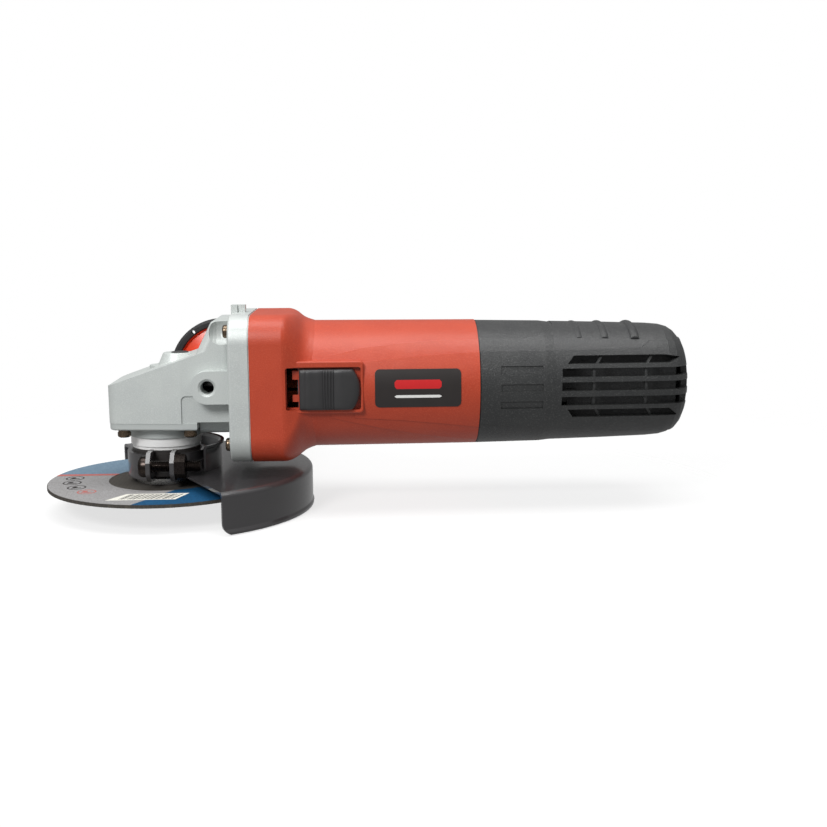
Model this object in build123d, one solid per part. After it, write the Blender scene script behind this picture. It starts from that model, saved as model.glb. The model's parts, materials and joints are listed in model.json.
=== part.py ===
from build123d import *
import math
import os

# Angle grinder for 125 mm discs. Millimetres, +Z up along the spindle, +X towards
# the rear of the motor. The origin is the centre of the spindle's free lower end.

# Driving dimensions
DISC_RADIUS = 62.5
DISC_THICKNESS = 1.6
DISC_Z = 12.0                   # middle of the disc
MOTOR_Z = 63.8                  # axis of the armature
THREAD_RADIUS = 7.0             # M14 spindle nose
THREAD_END_Z = 5.2              # below this the bare thread stands out of the lock nut
NUT_BORE = 6.35                 # the nut and flange sit on the thread's core
HEAD_HALF_WIDTH = 26.5
HEAD_FRONT_X = -26.0
HEAD_FRONT_HALF_WIDTH = 22.5
TAPER_END_X = 12.2              # the head's sides close in ahead of this
HEAD_FLOOR_Z = 46.6
HEAD_ROOF_Z = 99.0
PLATE_BOTTOM_Z = 43.0           # underside of the spindle bearing plate
PLATE_REAR_X = 20.0
GEAR_ROOM_RADIUS = 23.7
FLANGE_FRONT_X = 37.5
FLANGE_REAR_X = 48.2
FLANGE_SIDE = 76.0
FLANGE_Z = 64.3                 # middle of the square flange
FLANGE_CORNER = 14.0
SEAM_WIDTH = 0.5                # shadow line where two housings meet
SEAM_DEPTH = 0.6
HANDLE_HOLE_X = 26.6
HANDLE_HOLE_Z = 66.1
HANDLE_HOLE_RADIUS = 3.4        # M8 tap size
HEAD_CORNER = 6.0               # plan radius of the head's front corners
HOUSING_REAR_X = 165.3
HOUSING_FRONT_RADIUS = 33.6     # barrel just behind the square shoulder
HOUSING_REAR_RADIUS = 33.2
HOUSING_BORE = 30.8
FAN_CHAMBER_BORE = 33.0
COVER_REAR_X = 278.3
COVER_WALL = 2.6
GUARD_RADIUS = 77.8
GUARD_TOP_Z = 19.7
GUARD_BOTTOM_Z = -1.8
GUARD_SHEET = 1.5
GUARD_RIM = 2.6                 # outside bend radius of the rim
GUARD_START_ANGLE = -62.0
GUARD_SWEEP = 180.0
COLLAR_START_ANGLE = -38.0
COLLAR_SWEEP = 95.0
FIT = 0.05                      # radial running clearance
GAP = 0.3                       # clearance between bodies that pass each other

# Bevel pair
MODULE = 1.2
GEAR_TEETH = 37
PINION_TEETH = 11
TOOTH_INNER_SCALE = 0.675       # inner tooth section over outer, about the apex
ADDENDUM = 0.8
DEDENDUM = 1.15
TOOTH_HALF_THICKNESS = 0.72
FLANK_SLOPE = 0.38

# Neck, spindle and lower bearing
NECK_RADIUS = 18.5
NECK_BOTTOM_Z = 17.0
NECK_GROOVE_Z = (29.6, 33.2)
STAGE_BOTTOM_Z = 37.4
STAGE_RADIUS = 19.8
SHOULDER_RADIUS = 9.0
BEARING_SEAT_Z = (32.0, 42.0)
BEARING_SEAT_RADIUS = 6.0
GEAR_SEAT_RADIUS = 5.0
GEAR_SEAT_Z = (46.0, 56.0)
TOP_JOURNAL_RADIUS = 3.0
TOP_JOURNAL_Z = (60.0, 71.0)
NEEDLE_Z = (63.3, 71.3)
FLANGE_WASHER_TOP = 16.6
LOCK_NUT_Z = (5.2, 11.2)

# Spindle lock
LOCK_X = 8.8
LOCK_TOP_Z = 81.0
LOCK_FLOOR_Z = 72.0
LOCK_BUTTON_Z = (77.2, 81.4)
LOCK_BUTTON_RADIUS = 4.6
LOCK_PIN_RADIUS = 1.75
LOCK_PIN_TIP_Z = 57.3
LOCK_HOLE_RADIUS = 2.1

# Screws
PLATE_SCREWS = [(-18.5, -18.8), (-18.5, 18.8), (15.8, -21.2), (15.8, 21.2)]
PLATE_WASHER = 1.3
FLANGE_SCREW_Y = 29.0
FLANGE_SCREW_Z = (36.2, 94.2)
RETAINER_BOLT_CIRCLE = 15.6
COVER_SCREWS = [(177.0, 24.5), (177.0, -24.5), (258.0, 23.0), (258.0, -23.0)]

# Armature
FRONT_BEARING_X = (31.0, 39.0)
SHAFT_RADIUS = 5.0
PINION_SEAT_RADIUS = 4.0
ARMATURE_CORE_X = (74.0, 122.0)
ARMATURE_RADIUS = 17.8
COMMUTATOR_X = (134.0, 150.0)
COMMUTATOR_RADIUS = 12.0
BRUSH_X = 142.0
REAR_BEARING_X = (154.0, 160.0)
STATOR_X = (72.0, 124.0)
STATOR_RADIUS = 30.6
STATOR_FLAT = 27.8
COIL_X = (66.6, 131.0)
COIL_RADII = (19.0, 25.0)
FAN_X = (50.2, 61.0)
BAFFLE_X = (62.6, 65.4)

# Motor housing shoulder: (x, half width, half height, corner radius)
SHOULDER_SECTIONS = [
    (64.5, 38.0, 38.0, 14.0),
    (67.0, 37.1, 38.0, 15.5),
    (69.5, 35.8, 37.7, 19.5),
    (72.5, 34.6, 36.6, 26.0),
    (75.5, 33.8, 35.1, 31.0),
    (78.5, 33.1, 34.1, 32.2),
    (82.0, 32.4, 32.8, 31.8),
]
BARREL_START_X = 70.0
# Raised bands on the barrel, as (x, z) points of their upper and lower edges
BAND_STEP = 0.3
OUTER_BAND_TOP = [(89.0, 81.3), (104.0, 84.7), (125.0, 87.0), (145.0, 88.1), (165.3, 88.3)]
OUTER_BAND_LOW = [(89.0, 49.5), (114.0, 43.3), (135.0, 39.0), (156.0, 35.8), (165.3, 34.8)]
INNER_BAND_TOP = [(101.0, 77.6), (125.0, 80.1), (145.0, 81.5), (165.3, 82.5)]
INNER_BAND_LOW = [(101.0, 49.3), (124.0, 47.8), (145.0, 45.6), (165.3, 43.0)]

# Slide switch
POCKET_X = (66.2, 104.2)
POCKET_Z = (54.3, 76.1)
POCKET_FLOOR_Y = -31.5
FRAME_X = (65.3, 105.6)
FRAME_Z = (52.5, 79.1)
FRAME_FACE_Y = -34.8
KNOB_X = (73.1, 103.8)
KNOB_Z = (54.6, 75.0)
KNOB_FACE_Y = -38.2
KNOB_STOPS_Z = [(69.6, 74.1), (58.2, 61.8)]
KNOB_RIBS = 4
KNOB_RIB_PITCH = 1.5
ROD_Y = (-29.4, -28.1)

# Rear cover
# (x, z) outline of each air slot, with the foot and head of its bars
SLOT_ROWS = [
    ([(210.9, 75.8), (214.3, 80.0), (262.0, 80.0), (271.0, 78.6), (265.0, 75.8)],
     [((225.6, 75.4), (229.2, 80.4)), ((252.0, 75.0), (255.6, 80.4))]),
    ([(207.9, 69.2), (207.9, 73.6), (290.0, 73.6), (290.0, 69.2)],
     [((224.0, 69.0), (224.0, 73.8)), ((251.4, 69.0), (251.4, 73.8))]),
    ([(207.7, 62.1), (207.7, 66.6), (290.0, 66.6), (290.0, 62.1)],
     [((224.0, 62.0), (224.0, 66.8)), ((251.4, 62.0), (251.4, 66.8))]),
    ([(207.6, 54.4), (207.6, 59.0), (290.0, 59.0), (290.0, 54.4)],
     [((224.0, 54.2), (224.0, 59.2)), ((251.4, 54.2), (251.4, 59.2))]),
    ([(211.1, 52.1), (214.1, 47.8), (270.5, 47.8), (265.0, 52.1)],
     [((225.2, 52.4), (228.0, 47.4)), ((252.4, 52.4), (255.6, 47.4))]),
]
SLOT_DEPTH_Y = -16.0
SIDE_FIELD = [
    (165.0, 82.4), (207.0, 82.5), (229.0, 82.8), (250.0, 83.3), (253.0, 85.1), (255.4, 86.6), (280.0, 87.0),
    (280.0, 37.8), (253.0, 38.2), (229.5, 39.2), (209.0, 40.9), (187.0, 43.1), (165.0, 44.8),
]
SWEPT_FIELD = [(165.0, 89.2), (177.0, 88.6), (190.2, 88.6), (195.7, 89.7), (201.4, 91.5), (206.0, 94.6),
               (208.0, 110.0), (165.0, 110.0)]
FINGER_RIDGES = [218.3, 232.0, 248.0]
PANEL_DEPTH = 0.7
CORD_NECK_X = 259.0
PANEL_ROWS = [(71.3, 75.2), (62.3, 66.0), (53.2, 57.0)]
PANEL_X = (176.2, 198.0)
CORD_HOLE_RADIUS = 4.2
LABEL_THICKNESS = 0.35

# Guard clamp
BOLT_Y = -27.6
BOLT_Z = 25.0
CLAMP_Z = (15.8, 29.4)
EAR_Z = (17.2, 32.2)
EAR_X = (-6.0, 8.4)

# Side handle, on the far side
HANDLE_FACE_Y = 34.0
HANDLE_RIM_Y = (40.5, 46.0)
HANDLE_RIM_RADIUS = 29.5
HANDLE_END_Y = 158.0


def block(x_range, y_range, z_range):
    size = [high - low for low, high in (x_range, y_range, z_range)]
    middle = [(high + low) / 2 for low, high in (x_range, y_range, z_range)]
    return Pos(*middle) * Box(*size)


def cyl_z(radius, z_range, x=0.0, y=0.0):
    low, high = z_range
    return Pos(x, y, (low + high) / 2) * Cylinder(radius, high - low)


def cyl_x(radius, x_range, y=0.0, z=MOTOR_Z):
    low, high = x_range
    return Pos((low + high) / 2, y, z) * Rot(0, 90, 0) * Cylinder(radius, high - low)


def cyl_y(radius, y_range, x=HANDLE_HOLE_X, z=HANDLE_HOLE_Z):
    low, high = y_range
    return Pos(x, (low + high) / 2, z) * Rot(90, 0, 0) * Cylinder(radius, high - low)


def turned_z(outline, angle=360.0):
    """Revolve (radius, z) points about the spindle axis."""
    face = make_face(Polyline(*[(radius, 0, z) for radius, z in outline], close=True))
    return revolve(face, Axis.Z, angle)


def turned_x(outline):
    """Revolve (x, radius) points about the motor axis."""
    face = make_face(Polyline(*[(x, 0, radius) for x, radius in outline], close=True))
    return Pos(0, 0, MOTOR_Z) * revolve(face, Axis.X, 360)


def turned_y(outline):
    """Revolve (y, radius) points about the side handle's axis."""
    face = make_face(Polyline(*[(radius, y, 0) for y, radius in outline], close=True))
    return Pos(HANDLE_HOLE_X, 0, HANDLE_HOLE_Z) * revolve(face, Axis.Y, 360)


def prism_y(outline, y_range):
    """Extrude an (x, z) outline along Y."""
    low, high = y_range
    face = make_face(Polyline(*[(x, low, z) for x, z in outline], close=True))
    return extrude(face, high - low, dir=(0, 1, 0))


def prism_z(face, z_range):
    low, high = z_range
    return Pos(0, 0, low) * extrude(face, high - low)


def mirrored_y(shape):
    return mirror(shape, Plane.XZ)


def ball_bearing(bore, outside, width, balls):
    """Deep-groove bearing about Z, standing on z = 0: rings, balls and a shield."""
    wall = (outside - bore) * 0.28
    middle = (outside + bore) / 2
    ball_radius = (outside - bore) / 2 - wall * 0.62
    inner = Cylinder(bore + wall, width) - Cylinder(bore + FIT, width)
    outer = Cylinder(outside, width) - Cylinder(outside - wall, width)
    groove = Torus(middle, ball_radius + FIT)
    pieces = [inner - groove, outer - groove]
    for index in range(balls):
        angle = math.radians(360.0 * index / balls)
        pieces.append(Pos(middle * math.cos(angle), middle * math.sin(angle), 0) * Sphere(ball_radius))
    return [Pos(0, 0, width / 2) * piece for piece in pieces]


def coil_spring(radius, wire, turns, low, high):
    """Helical spring about Z between two heights."""
    path = Helix((high - low - wire) / turns, high - low - wire, radius)
    start = Plane(path @ 0, z_dir=path % 0)
    wire_face = start * Circle(wire / 2)
    return Pos(0, 0, low + wire / 2) * sweep(wire_face, path, is_frenet=True)


def pan_screw(head_radius, head_height, shank_radius, length):
    """Pan-head screw along +Z: head below z = 0, shank above, with a cross recess."""
    head = Pos(0, 0, -head_height / 2) * Cylinder(head_radius, head_height)
    head = fillet(head.edges().sort_by(Axis.Z)[0], head_height * 0.45)
    shank = Pos(0, 0, length / 2) * Cylinder(shank_radius, length)
    recess_depth = head_height * 0.55
    bar = Box(head_radius * 1.1, head_radius * 0.3, recess_depth)
    slot = Pos(0, 0, -head_height + recess_depth / 2) * bar
    return head + shank - slot - Rot(0, 0, 90) * slot


# ---------------------------------------------------------------- gear head

def head_plan(inset):
    """Plan outline of the head: sides that close in towards two round front corners."""
    front = HEAD_FRONT_X + inset
    front_half = HEAD_FRONT_HALF_WIDTH - inset
    half = HEAD_HALF_WIDTH - inset
    rear = FLANGE_FRONT_X + 1.0
    side = [(front, front_half), (TAPER_END_X, half), (rear, half)]
    points = [*side, *[(x, -y) for x, y in reversed(side)]]
    outline = make_face(Polyline(*points, close=True))
    front_corners = outline.vertices().group_by(Axis.X)[0]
    return fillet(front_corners, HEAD_CORNER - inset)


def head_side_outline():
    return [
        (HEAD_FRONT_X - 1, HEAD_FLOOR_Z),
        (HEAD_FRONT_X - 1, 65.6),
        (20.0, 82.0),
        (28.4, HEAD_ROOF_Z),
        (FLANGE_FRONT_X + 1, HEAD_ROOF_Z),
        (FLANGE_FRONT_X + 1, 47.3),
        (PLATE_REAR_X, 47.3),
        (PLATE_REAR_X, HEAD_FLOOR_Z),
    ]


def head_cavity():
    inside = [
        (-30, 40),
        (-30, 62.6),
        (19.4, 79.6),
        (24.6, 84.0),
        (31, 84.0),
        (31, 49.6),
        (23.7, 49.6),
        (23.7, 40),
    ]
    upper = prism_y(inside, (-30, 30)) & prism_z(head_plan(2.8), (HEAD_FLOOR_Z, 95.0))
    gear_room = cyl_z(GEAR_ROOM_RADIUS, (PLATE_BOTTOM_Z - 0.2, 62.0))
    below_teeth = block((-40, 40), (-40, 40), (40.0, 49.6))
    return upper - below_teeth + gear_room


def square_section(inset=0.0):
    side = FLANGE_SIDE - 2 * inset
    section = Rectangle(side, side)
    return fillet(section.vertices(), FLANGE_CORNER - inset)


def square_prism(x_range, inset=0.0):
    low, high = x_range
    plane = Plane(origin=(low, 0, FLANGE_Z), x_dir=(0, 1, 0), z_dir=(1, 0, 0))
    return extrude(plane * square_section(inset), high - low)


def handle_boss():
    """Round boss and its rib to the flange, through both sides of the head."""
    reach = (-HANDLE_FACE_Y, HANDLE_FACE_Y)
    boss = cyl_y(8.4, reach)
    rib_z = (HANDLE_HOLE_Z - 8.4, HANDLE_HOLE_Z + 8.4)
    rib = block((HANDLE_HOLE_X, FLANGE_FRONT_X + 1), reach, rib_z)
    return boss + rib


def side_recess():
    """Shallow step in the side wall below and behind the handle boss."""
    depth = 0.8
    side = (-HEAD_HALF_WIDTH - 1, -HEAD_HALF_WIDTH + depth)
    face = block((TAPER_END_X, FLANGE_FRONT_X), side, (42.0, 61.0))
    face = fillet(face.edges().filter_by(Axis.Y).group_by(Axis.X)[0], 2.5)
    return face


def screwdriver_recess(y, z):
    """Smooth hollow in the head's shoulder that clears an upper flange screw."""
    bowl = [
        (26.6, 0),
        (27.0, 2.4),
        (27.9, 4.4),
        (29.2, 6.0),
        (31.0, 7.1),
        (33.0, 7.5),
        (FLANGE_FRONT_X, 7.5),
        (FLANGE_FRONT_X, 0),
    ]
    return Pos(0, y, z - MOTOR_Z) * turned_x(bowl)


def seam_groove(x, inward):
    """Shadow line round the square section, cut on one side of a joint."""
    x_range = (x, x + SEAM_WIDTH) if inward > 0 else (x - SEAM_WIDTH, x)
    return square_prism(x_range, -2.0) - square_prism(x_range, SEAM_DEPTH)


def gear_housing():
    plan = prism_z(head_plan(0.0), (40.0, 101.0))
    head = prism_y(head_side_outline(), (-30, 30)) & plan
    head = fillet(head.edges().filter_by(Axis.Y).group_by(Axis.Z)[-1], 2.0)
    head = fillet(head.edges().filter_by(Axis.X).group_by(Axis.Z)[-1], 4.0)
    recess = side_recess()
    head = head - recess - mirrored_y(recess)
    belly = block((20.2, FLANGE_FRONT_X + 1), (-16, 16), (39.8, 50.0))
    belly = fillet(belly.edges().filter_by(Axis.X).group_by(Axis.Z)[0], 3.0)
    flange = square_prism((FLANGE_FRONT_X, FLANGE_REAR_X))
    flange = fillet(flange.edges().group_by(Axis.X)[0], 1.5)
    boss_height = LOCK_TOP_Z - LOCK_FLOOR_Z - 2.0
    lock_boss = Pos(LOCK_X - 1.4, 0, LOCK_TOP_Z - boss_height / 2) * Cone(10.4, 7.35, boss_height)
    lock_boss = fillet(lock_boss.edges().sort_by(Axis.Z)[-1], 0.6)
    shape = head + belly + handle_boss() + flange + lock_boss
    for x in (38.9, 42.9):
        shape += block((x - 1.7, x + 1.7), (-9, -3), (98.0, 106.2))
    shape -= head_cavity()
    needle_boss = cyl_z(7.3, (NEEDLE_Z[0], 74.5))
    lock_guide = cyl_z(6.2, (70.0, 76.5), x=LOCK_X)
    shape = shape + needle_boss + lock_guide
    shape -= cyl_z(5.0, (NEEDLE_Z[0] - 1, NEEDLE_Z[1]))
    shape -= cyl_z(LOCK_BUTTON_RADIUS + 0.1, (LOCK_FLOOR_Z, LOCK_TOP_Z + 1), x=LOCK_X)
    shape -= cyl_z(LOCK_PIN_RADIUS + 0.1, (NEEDLE_Z[0] - 1, LOCK_FLOOR_Z), x=LOCK_X)
    shape -= cyl_x(13.0, (FRONT_BEARING_X[0] - 1, FRONT_BEARING_X[1] + 3))
    shape -= cyl_x(18.2, (FRONT_BEARING_X[1], FLANGE_REAR_X + 1))
    shape -= cyl_x(34.6, (FLANGE_REAR_X - 6.0, FLANGE_REAR_X + 1))
    shape -= cyl_y(HANDLE_HOLE_RADIUS, (-HANDLE_FACE_Y - 1, -HANDLE_FACE_Y + 14.0))
    shape -= handle_countersink()
    shape -= cyl_y(4.05, (HANDLE_FACE_Y - 14.0, HANDLE_FACE_Y + 1))
    for x, y in PLATE_SCREWS:
        shape -= cyl_z(2.0, (HEAD_FLOOR_Z - 1, HEAD_FLOOR_Z + 9.0), x=x, y=y)
    for y, z in flange_screw_places():
        shape -= cyl_x(2.3, (FLANGE_FRONT_X - 1, FLANGE_REAR_X + 1), y=y, z=z)
        if z > FLANGE_Z:
            shape -= screwdriver_recess(y, z)
    for y, z in retainer_screw_places():
        shape -= cyl_x(1.2, (32.0, 40.0), y=y, z=z)
    return shape - seam_groove(FLANGE_REAR_X, -1)


def handle_countersink():
    """Cone at the mouth of the near side handle hole."""
    depth = 1.2
    mouth = -HANDLE_FACE_Y
    return turned_y([(mouth - 1.0, 0), (mouth - 1.0, HANDLE_HOLE_RADIUS + depth + 1.0),
                     (mouth + depth, HANDLE_HOLE_RADIUS), (mouth + depth, 0)])


def flange_screw_places():
    return [(y, z) for y in (-FLANGE_SCREW_Y, FLANGE_SCREW_Y) for z in FLANGE_SCREW_Z]


def retainer_screw_places():
    places = []
    for index in range(3):
        angle = math.radians(90 + 120 * index)
        y = RETAINER_BOLT_CIRCLE * math.cos(angle)
        places.append((y, MOTOR_Z + RETAINER_BOLT_CIRCLE * math.sin(angle)))
    return places


def spindle_bearing_plate():
    seat_low, seat_high = BEARING_SEAT_Z
    groove_low, groove_high = NECK_GROOVE_Z
    outline = [
        (11.0, NECK_BOTTOM_Z),
        (NECK_RADIUS - 0.6, NECK_BOTTOM_Z),
        (NECK_RADIUS, NECK_BOTTOM_Z + 0.6),
        (NECK_RADIUS, groove_low),
        (NECK_RADIUS - 0.8, groove_low),
        (NECK_RADIUS - 0.8, groove_high),
        (NECK_RADIUS, groove_high),
        (NECK_RADIUS, STAGE_BOTTOM_Z),
        (STAGE_RADIUS, STAGE_BOTTOM_Z + 0.6),
        (STAGE_RADIUS, seat_high + 1.0),
        (GEAR_ROOM_RADIUS - 0.1, seat_high + 1.0),
        (GEAR_ROOM_RADIUS - 0.1, seat_high + 3.0),
        (16.0, seat_high + 3.0),
        (16.0, seat_low),
        (13.0, seat_low),
        (13.0, seat_low - 4.0),
        (11.0, seat_low - 4.0),
    ]
    neck = turned_z(outline)
    plate_z = (PLATE_BOTTOM_Z, HEAD_FLOOR_Z)
    plate = prism_z(head_plan(0.2), plate_z) & block((-40, PLATE_REAR_X), (-40, 40), plate_z)
    plate = fillet(plate.edges().group_by(Axis.Z)[0], 1.0)
    plate -= cyl_z(STAGE_RADIUS - 1.0, (PLATE_BOTTOM_Z - 1.0, HEAD_FLOOR_Z + 1.0))
    plate -= cyl_z(GEAR_ROOM_RADIUS, (seat_high + 3.0, HEAD_FLOOR_Z + 1.0))
    for x, y in PLATE_SCREWS:
        plate -= cyl_z(2.2, (PLATE_BOTTOM_Z - 1.0, HEAD_FLOOR_Z + 1.0), x=x, y=y)
    return neck + plate


def bearing_plate_screws():
    """Each screw with its captive spring washer."""
    washer = cyl_z(3.0, (-PLATE_WASHER, 0.0))
    screw = Pos(0, 0, -PLATE_WASHER) * pan_screw(3.4, 2.7, 1.95, 11.0) + washer
    return [Pos(x, y, PLATE_BOTTOM_Z) * screw for x, y in PLATE_SCREWS]


def flange_screws():
    screw = Rot(0, 90, 0) * pan_screw(3.4, 2.7, 2.0, 24.0)
    return [Pos(FLANGE_FRONT_X, y, z) * screw for y, z in flange_screw_places()]


def lower_spindle_bearing():
    return [Pos(0, 0, BEARING_SEAT_Z[0]) * piece for piece in ball_bearing(6.0, 16.0, 10.0, 8)]


def upper_needle_bearing():
    low, high = NEEDLE_Z
    shell = cyl_z(4.98, NEEDLE_Z) - cyl_z(4.2, NEEDLE_Z)
    pieces = [shell]
    needle_radius = (4.2 - TOP_JOURNAL_RADIUS - FIT) / 2 - 0.01
    orbit = (4.2 + TOP_JOURNAL_RADIUS + FIT) / 2
    for index in range(15):
        angle = math.radians(24.0 * index)
        x = orbit * math.cos(angle)
        y = orbit * math.sin(angle)
        pieces.append(cyl_z(needle_radius, (low + 0.6, high - 0.6), x=x, y=y))
    return pieces


def dust_seal():
    top = BEARING_SEAT_Z[0]
    bore = SHOULDER_RADIUS + FIT
    return turned_z([(bore, top - 4.0), (13.0, top - 4.0), (13.0, top), (bore, top)])


# ---------------------------------------------------------------- spindle

def spindle():
    seat_low, seat_high = GEAR_SEAT_Z
    journal_low, journal_high = TOP_JOURNAL_Z
    outline = [
        (0, 0),
        (THREAD_RADIUS, 0),
        (THREAD_RADIUS, THREAD_END_Z),
        (NUT_BORE, THREAD_END_Z),
        (NUT_BORE, FLANGE_WASHER_TOP),
        (SHOULDER_RADIUS, FLANGE_WASHER_TOP),
        (SHOULDER_RADIUS, BEARING_SEAT_Z[0] - 0.3),
        (BEARING_SEAT_RADIUS, BEARING_SEAT_Z[0] - 0.3),
        (BEARING_SEAT_RADIUS, seat_low),
        (GEAR_SEAT_RADIUS, seat_low),
        (GEAR_SEAT_RADIUS, journal_low - 1.0),
        (TOP_JOURNAL_RADIUS, journal_low + 1.0),
        (TOP_JOURNAL_RADIUS, journal_high - 0.5),
        (TOP_JOURNAL_RADIUS - 0.5, journal_high),
        (0, journal_high),
    ]
    body = turned_z(outline)
    circlip_groove = cyl_z(7.0, (seat_high, seat_high + 1.0)) - cyl_z(4.6, (seat_high, seat_high + 1.0))
    return body - circlip_groove - key_seat()


def key_seat():
    """Half-round Woodruff key, 3 mm wide, in the gear seat at -X."""
    centre_z = (GEAR_SEAT_Z[0] + GEAR_SEAT_Z[1]) / 2
    disc = Pos(-GEAR_SEAT_RADIUS + 0.4, 0, centre_z) * Rot(90, 0, 0) * Cylinder(4.0, 3.0)
    return disc & block((-GEAR_SEAT_RADIUS - 1.2, 0), (-2, 2), GEAR_SEAT_Z)


def gear_key():
    return key_seat()


def gear_circlip():
    low = GEAR_SEAT_Z[1]
    ring = cyl_z(6.5, (low, low + 1.0)) - cyl_z(4.6, (low, low + 1.0))
    return ring - block((4.0, 8.0), (-1.5, 1.5), (low - 1, low + 2))


def tooth(cone_angle, half_thickness):
    """One bevel tooth about the apex at the origin; the pitch cone opens along +Z.

    Sections are scaled copies about the apex, so each flank is a plane through it.
    """
    cone_distance = MODULE * math.hypot(GEAR_TEETH, PINION_TEETH) / 2
    along = Vector(math.sin(cone_angle), 0, math.cos(cone_angle))
    outward = Vector(math.cos(cone_angle), 0, -math.sin(cone_angle))
    root = -DEDENDUM - 0.15
    profile = [
        (-half_thickness + FLANK_SLOPE * root, root),
        (half_thickness - FLANK_SLOPE * root, root),
        (half_thickness, 0.0),
        (half_thickness - FLANK_SLOPE * 1.25 * ADDENDUM, ADDENDUM),
        (-half_thickness + FLANK_SLOPE * 1.25 * ADDENDUM, ADDENDUM),
        (-half_thickness, 0.0),
    ]
    sections = []
    for scale in (1.0, TOOTH_INNER_SCALE):
        points = []
        for sideways, height in profile:
            point = along * cone_distance + outward * height + Vector(0, sideways, 0)
            points.append(tuple(point * scale))
        sections.append(make_face(Polyline(*points, close=True)))
    return loft(sections, ruled=True)


def gear_radii(cone_angle, offset):
    """Radius and distance below the apex at the outer and inner ends of a cone."""
    cone_distance = MODULE * math.hypot(GEAR_TEETH, PINION_TEETH) / 2
    radius = cone_distance * math.sin(cone_angle) + offset * math.cos(cone_angle)
    depth = cone_distance * math.cos(cone_angle) - offset * math.sin(cone_angle)
    inner = TOOTH_INNER_SCALE
    return (radius, depth), (radius * inner, depth * inner)


def bevel_gear():
    cone_angle = math.atan2(GEAR_TEETH, PINION_TEETH)
    (outer_r, outer_d), (inner_r, inner_d) = gear_radii(cone_angle, -DEDENDUM)
    web_top = GEAR_SEAT_Z[1]
    outline = [
        (GEAR_SEAT_RADIUS, GEAR_SEAT_Z[0]),
        (9.0, GEAR_SEAT_Z[0]),
        (9.0, 50.0),
        (outer_r - 1.5, 50.8),
        (outer_r, MOTOR_Z - outer_d),
        (inner_r, MOTOR_Z - inner_d),
        (inner_r - 1.2, web_top),
        (GEAR_SEAT_RADIUS, web_top),
    ]
    body = turned_z(outline)
    teeth = []
    for index in range(GEAR_TEETH):
        turn = 360.0 * (index + 0.5) / GEAR_TEETH
        one = Rot(0, 0, turn) * Rot(180, 0, 0) * tooth(cone_angle, TOOTH_HALF_THICKNESS)
        teeth.append(Pos(0, 0, MOTOR_Z) * one)
    body = body + teeth
    for index in range(4):
        angle = math.radians(90 * index)
        x = LOCK_X * math.cos(angle)
        y = LOCK_X * math.sin(angle)
        body -= cyl_z(LOCK_HOLE_RADIUS, (52.0, web_top + 1), x=x, y=y)
    return body - key_seat()


def inner_flange():
    top = DISC_Z + DISC_THICKNESS / 2
    outline = [
        (NUT_BORE, top - DISC_THICKNESS),
        (11.1, top - DISC_THICKNESS),
        (11.1, top),
        (16.5, top),
        (16.5, FLANGE_WASHER_TOP - 0.8),
        (15.7, FLANGE_WASHER_TOP),
        (NUT_BORE, FLANGE_WASHER_TOP),
    ]
    return turned_z(outline)


def disc_range():
    return (DISC_Z - DISC_THICKNESS / 2, DISC_Z + DISC_THICKNESS / 2)


def cutting_disc():
    return cyl_z(DISC_RADIUS, disc_range()) - cyl_z(12.4, disc_range())


def disc_bore_ring():
    return cyl_z(12.4, disc_range()) - cyl_z(11.1, disc_range())


def disc_label():
    top = DISC_Z + DISC_THICKNESS / 2
    band = (top, top + 0.12)
    return cyl_z(DISC_RADIUS - 1.5, band) - cyl_z(31.0, band)


def lock_nut():
    low, high = LOCK_NUT_Z
    outline = [(NUT_BORE, low), (12.5, low), (17.0, low + 2.2), (17.0, high), (NUT_BORE, high)]
    nut = turned_z(outline)
    for index in range(4):
        angle = math.radians(45 + 90 * index)
        nut -= cyl_z(2.4, (low - 1, high - 1.5), x=11.0 * math.cos(angle), y=11.0 * math.sin(angle))
    return nut


# ---------------------------------------------------------------- armature

def armature_shaft():
    rear_seat = REAR_BEARING_X[0]
    outline = [
        (11.1, 0),
        (11.1, 2.6),
        (11.5, 3.0),
        (15.0, 3.0),
        (15.0, PINION_SEAT_RADIUS),
        (FRONT_BEARING_X[0] - 0.3, PINION_SEAT_RADIUS),
        (FRONT_BEARING_X[0] - 0.3, SHAFT_RADIUS),
        (rear_seat - 1.0, SHAFT_RADIUS),
        (rear_seat - 1.0, 3.5),
        (REAR_BEARING_X[1] + 0.5, 3.5),
        (REAR_BEARING_X[1] + 0.5, 0),
    ]
    return turned_x(outline)


def bevel_pinion():
    cone_angle = math.atan2(PINION_TEETH, GEAR_TEETH)
    (outer_r, outer_x), (inner_r, inner_x) = gear_radii(cone_angle, -DEDENDUM)
    outline = [
        (inner_x, PINION_SEAT_RADIUS),
        (inner_x, inner_r),
        (outer_x, outer_r),
        (outer_x + 1.0, outer_r + 1.2),
        (FRONT_BEARING_X[0] - 0.5, outer_r + 1.2),
        (FRONT_BEARING_X[0] - 0.5, PINION_SEAT_RADIUS),
    ]
    if inner_r <= PINION_SEAT_RADIUS:
        outline = outline[1:]
    body = turned_x(outline)
    teeth = []
    for index in range(PINION_TEETH):
        turn = 180.0 + 360.0 * index / PINION_TEETH
        one = Rot(turn, 0, 0) * Rot(0, 90, 0) * Rot(0, 0, 180) * tooth(cone_angle, TOOTH_HALF_THICKNESS)
        teeth.append(Pos(0, 0, MOTOR_Z) * one)
    body = body + teeth
    return body - cyl_x(PINION_SEAT_RADIUS, (0, FRONT_BEARING_X[0]))


def pinion_nut():
    plane = Plane(origin=(11.3, 0, MOTOR_Z), x_dir=(0, 1, 0), z_dir=(1, 0, 0))
    nut = extrude(plane * RegularPolygon(4.9, 6), 3.4)
    return nut - cyl_x(3.0, (11.0, 15.0))


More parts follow.
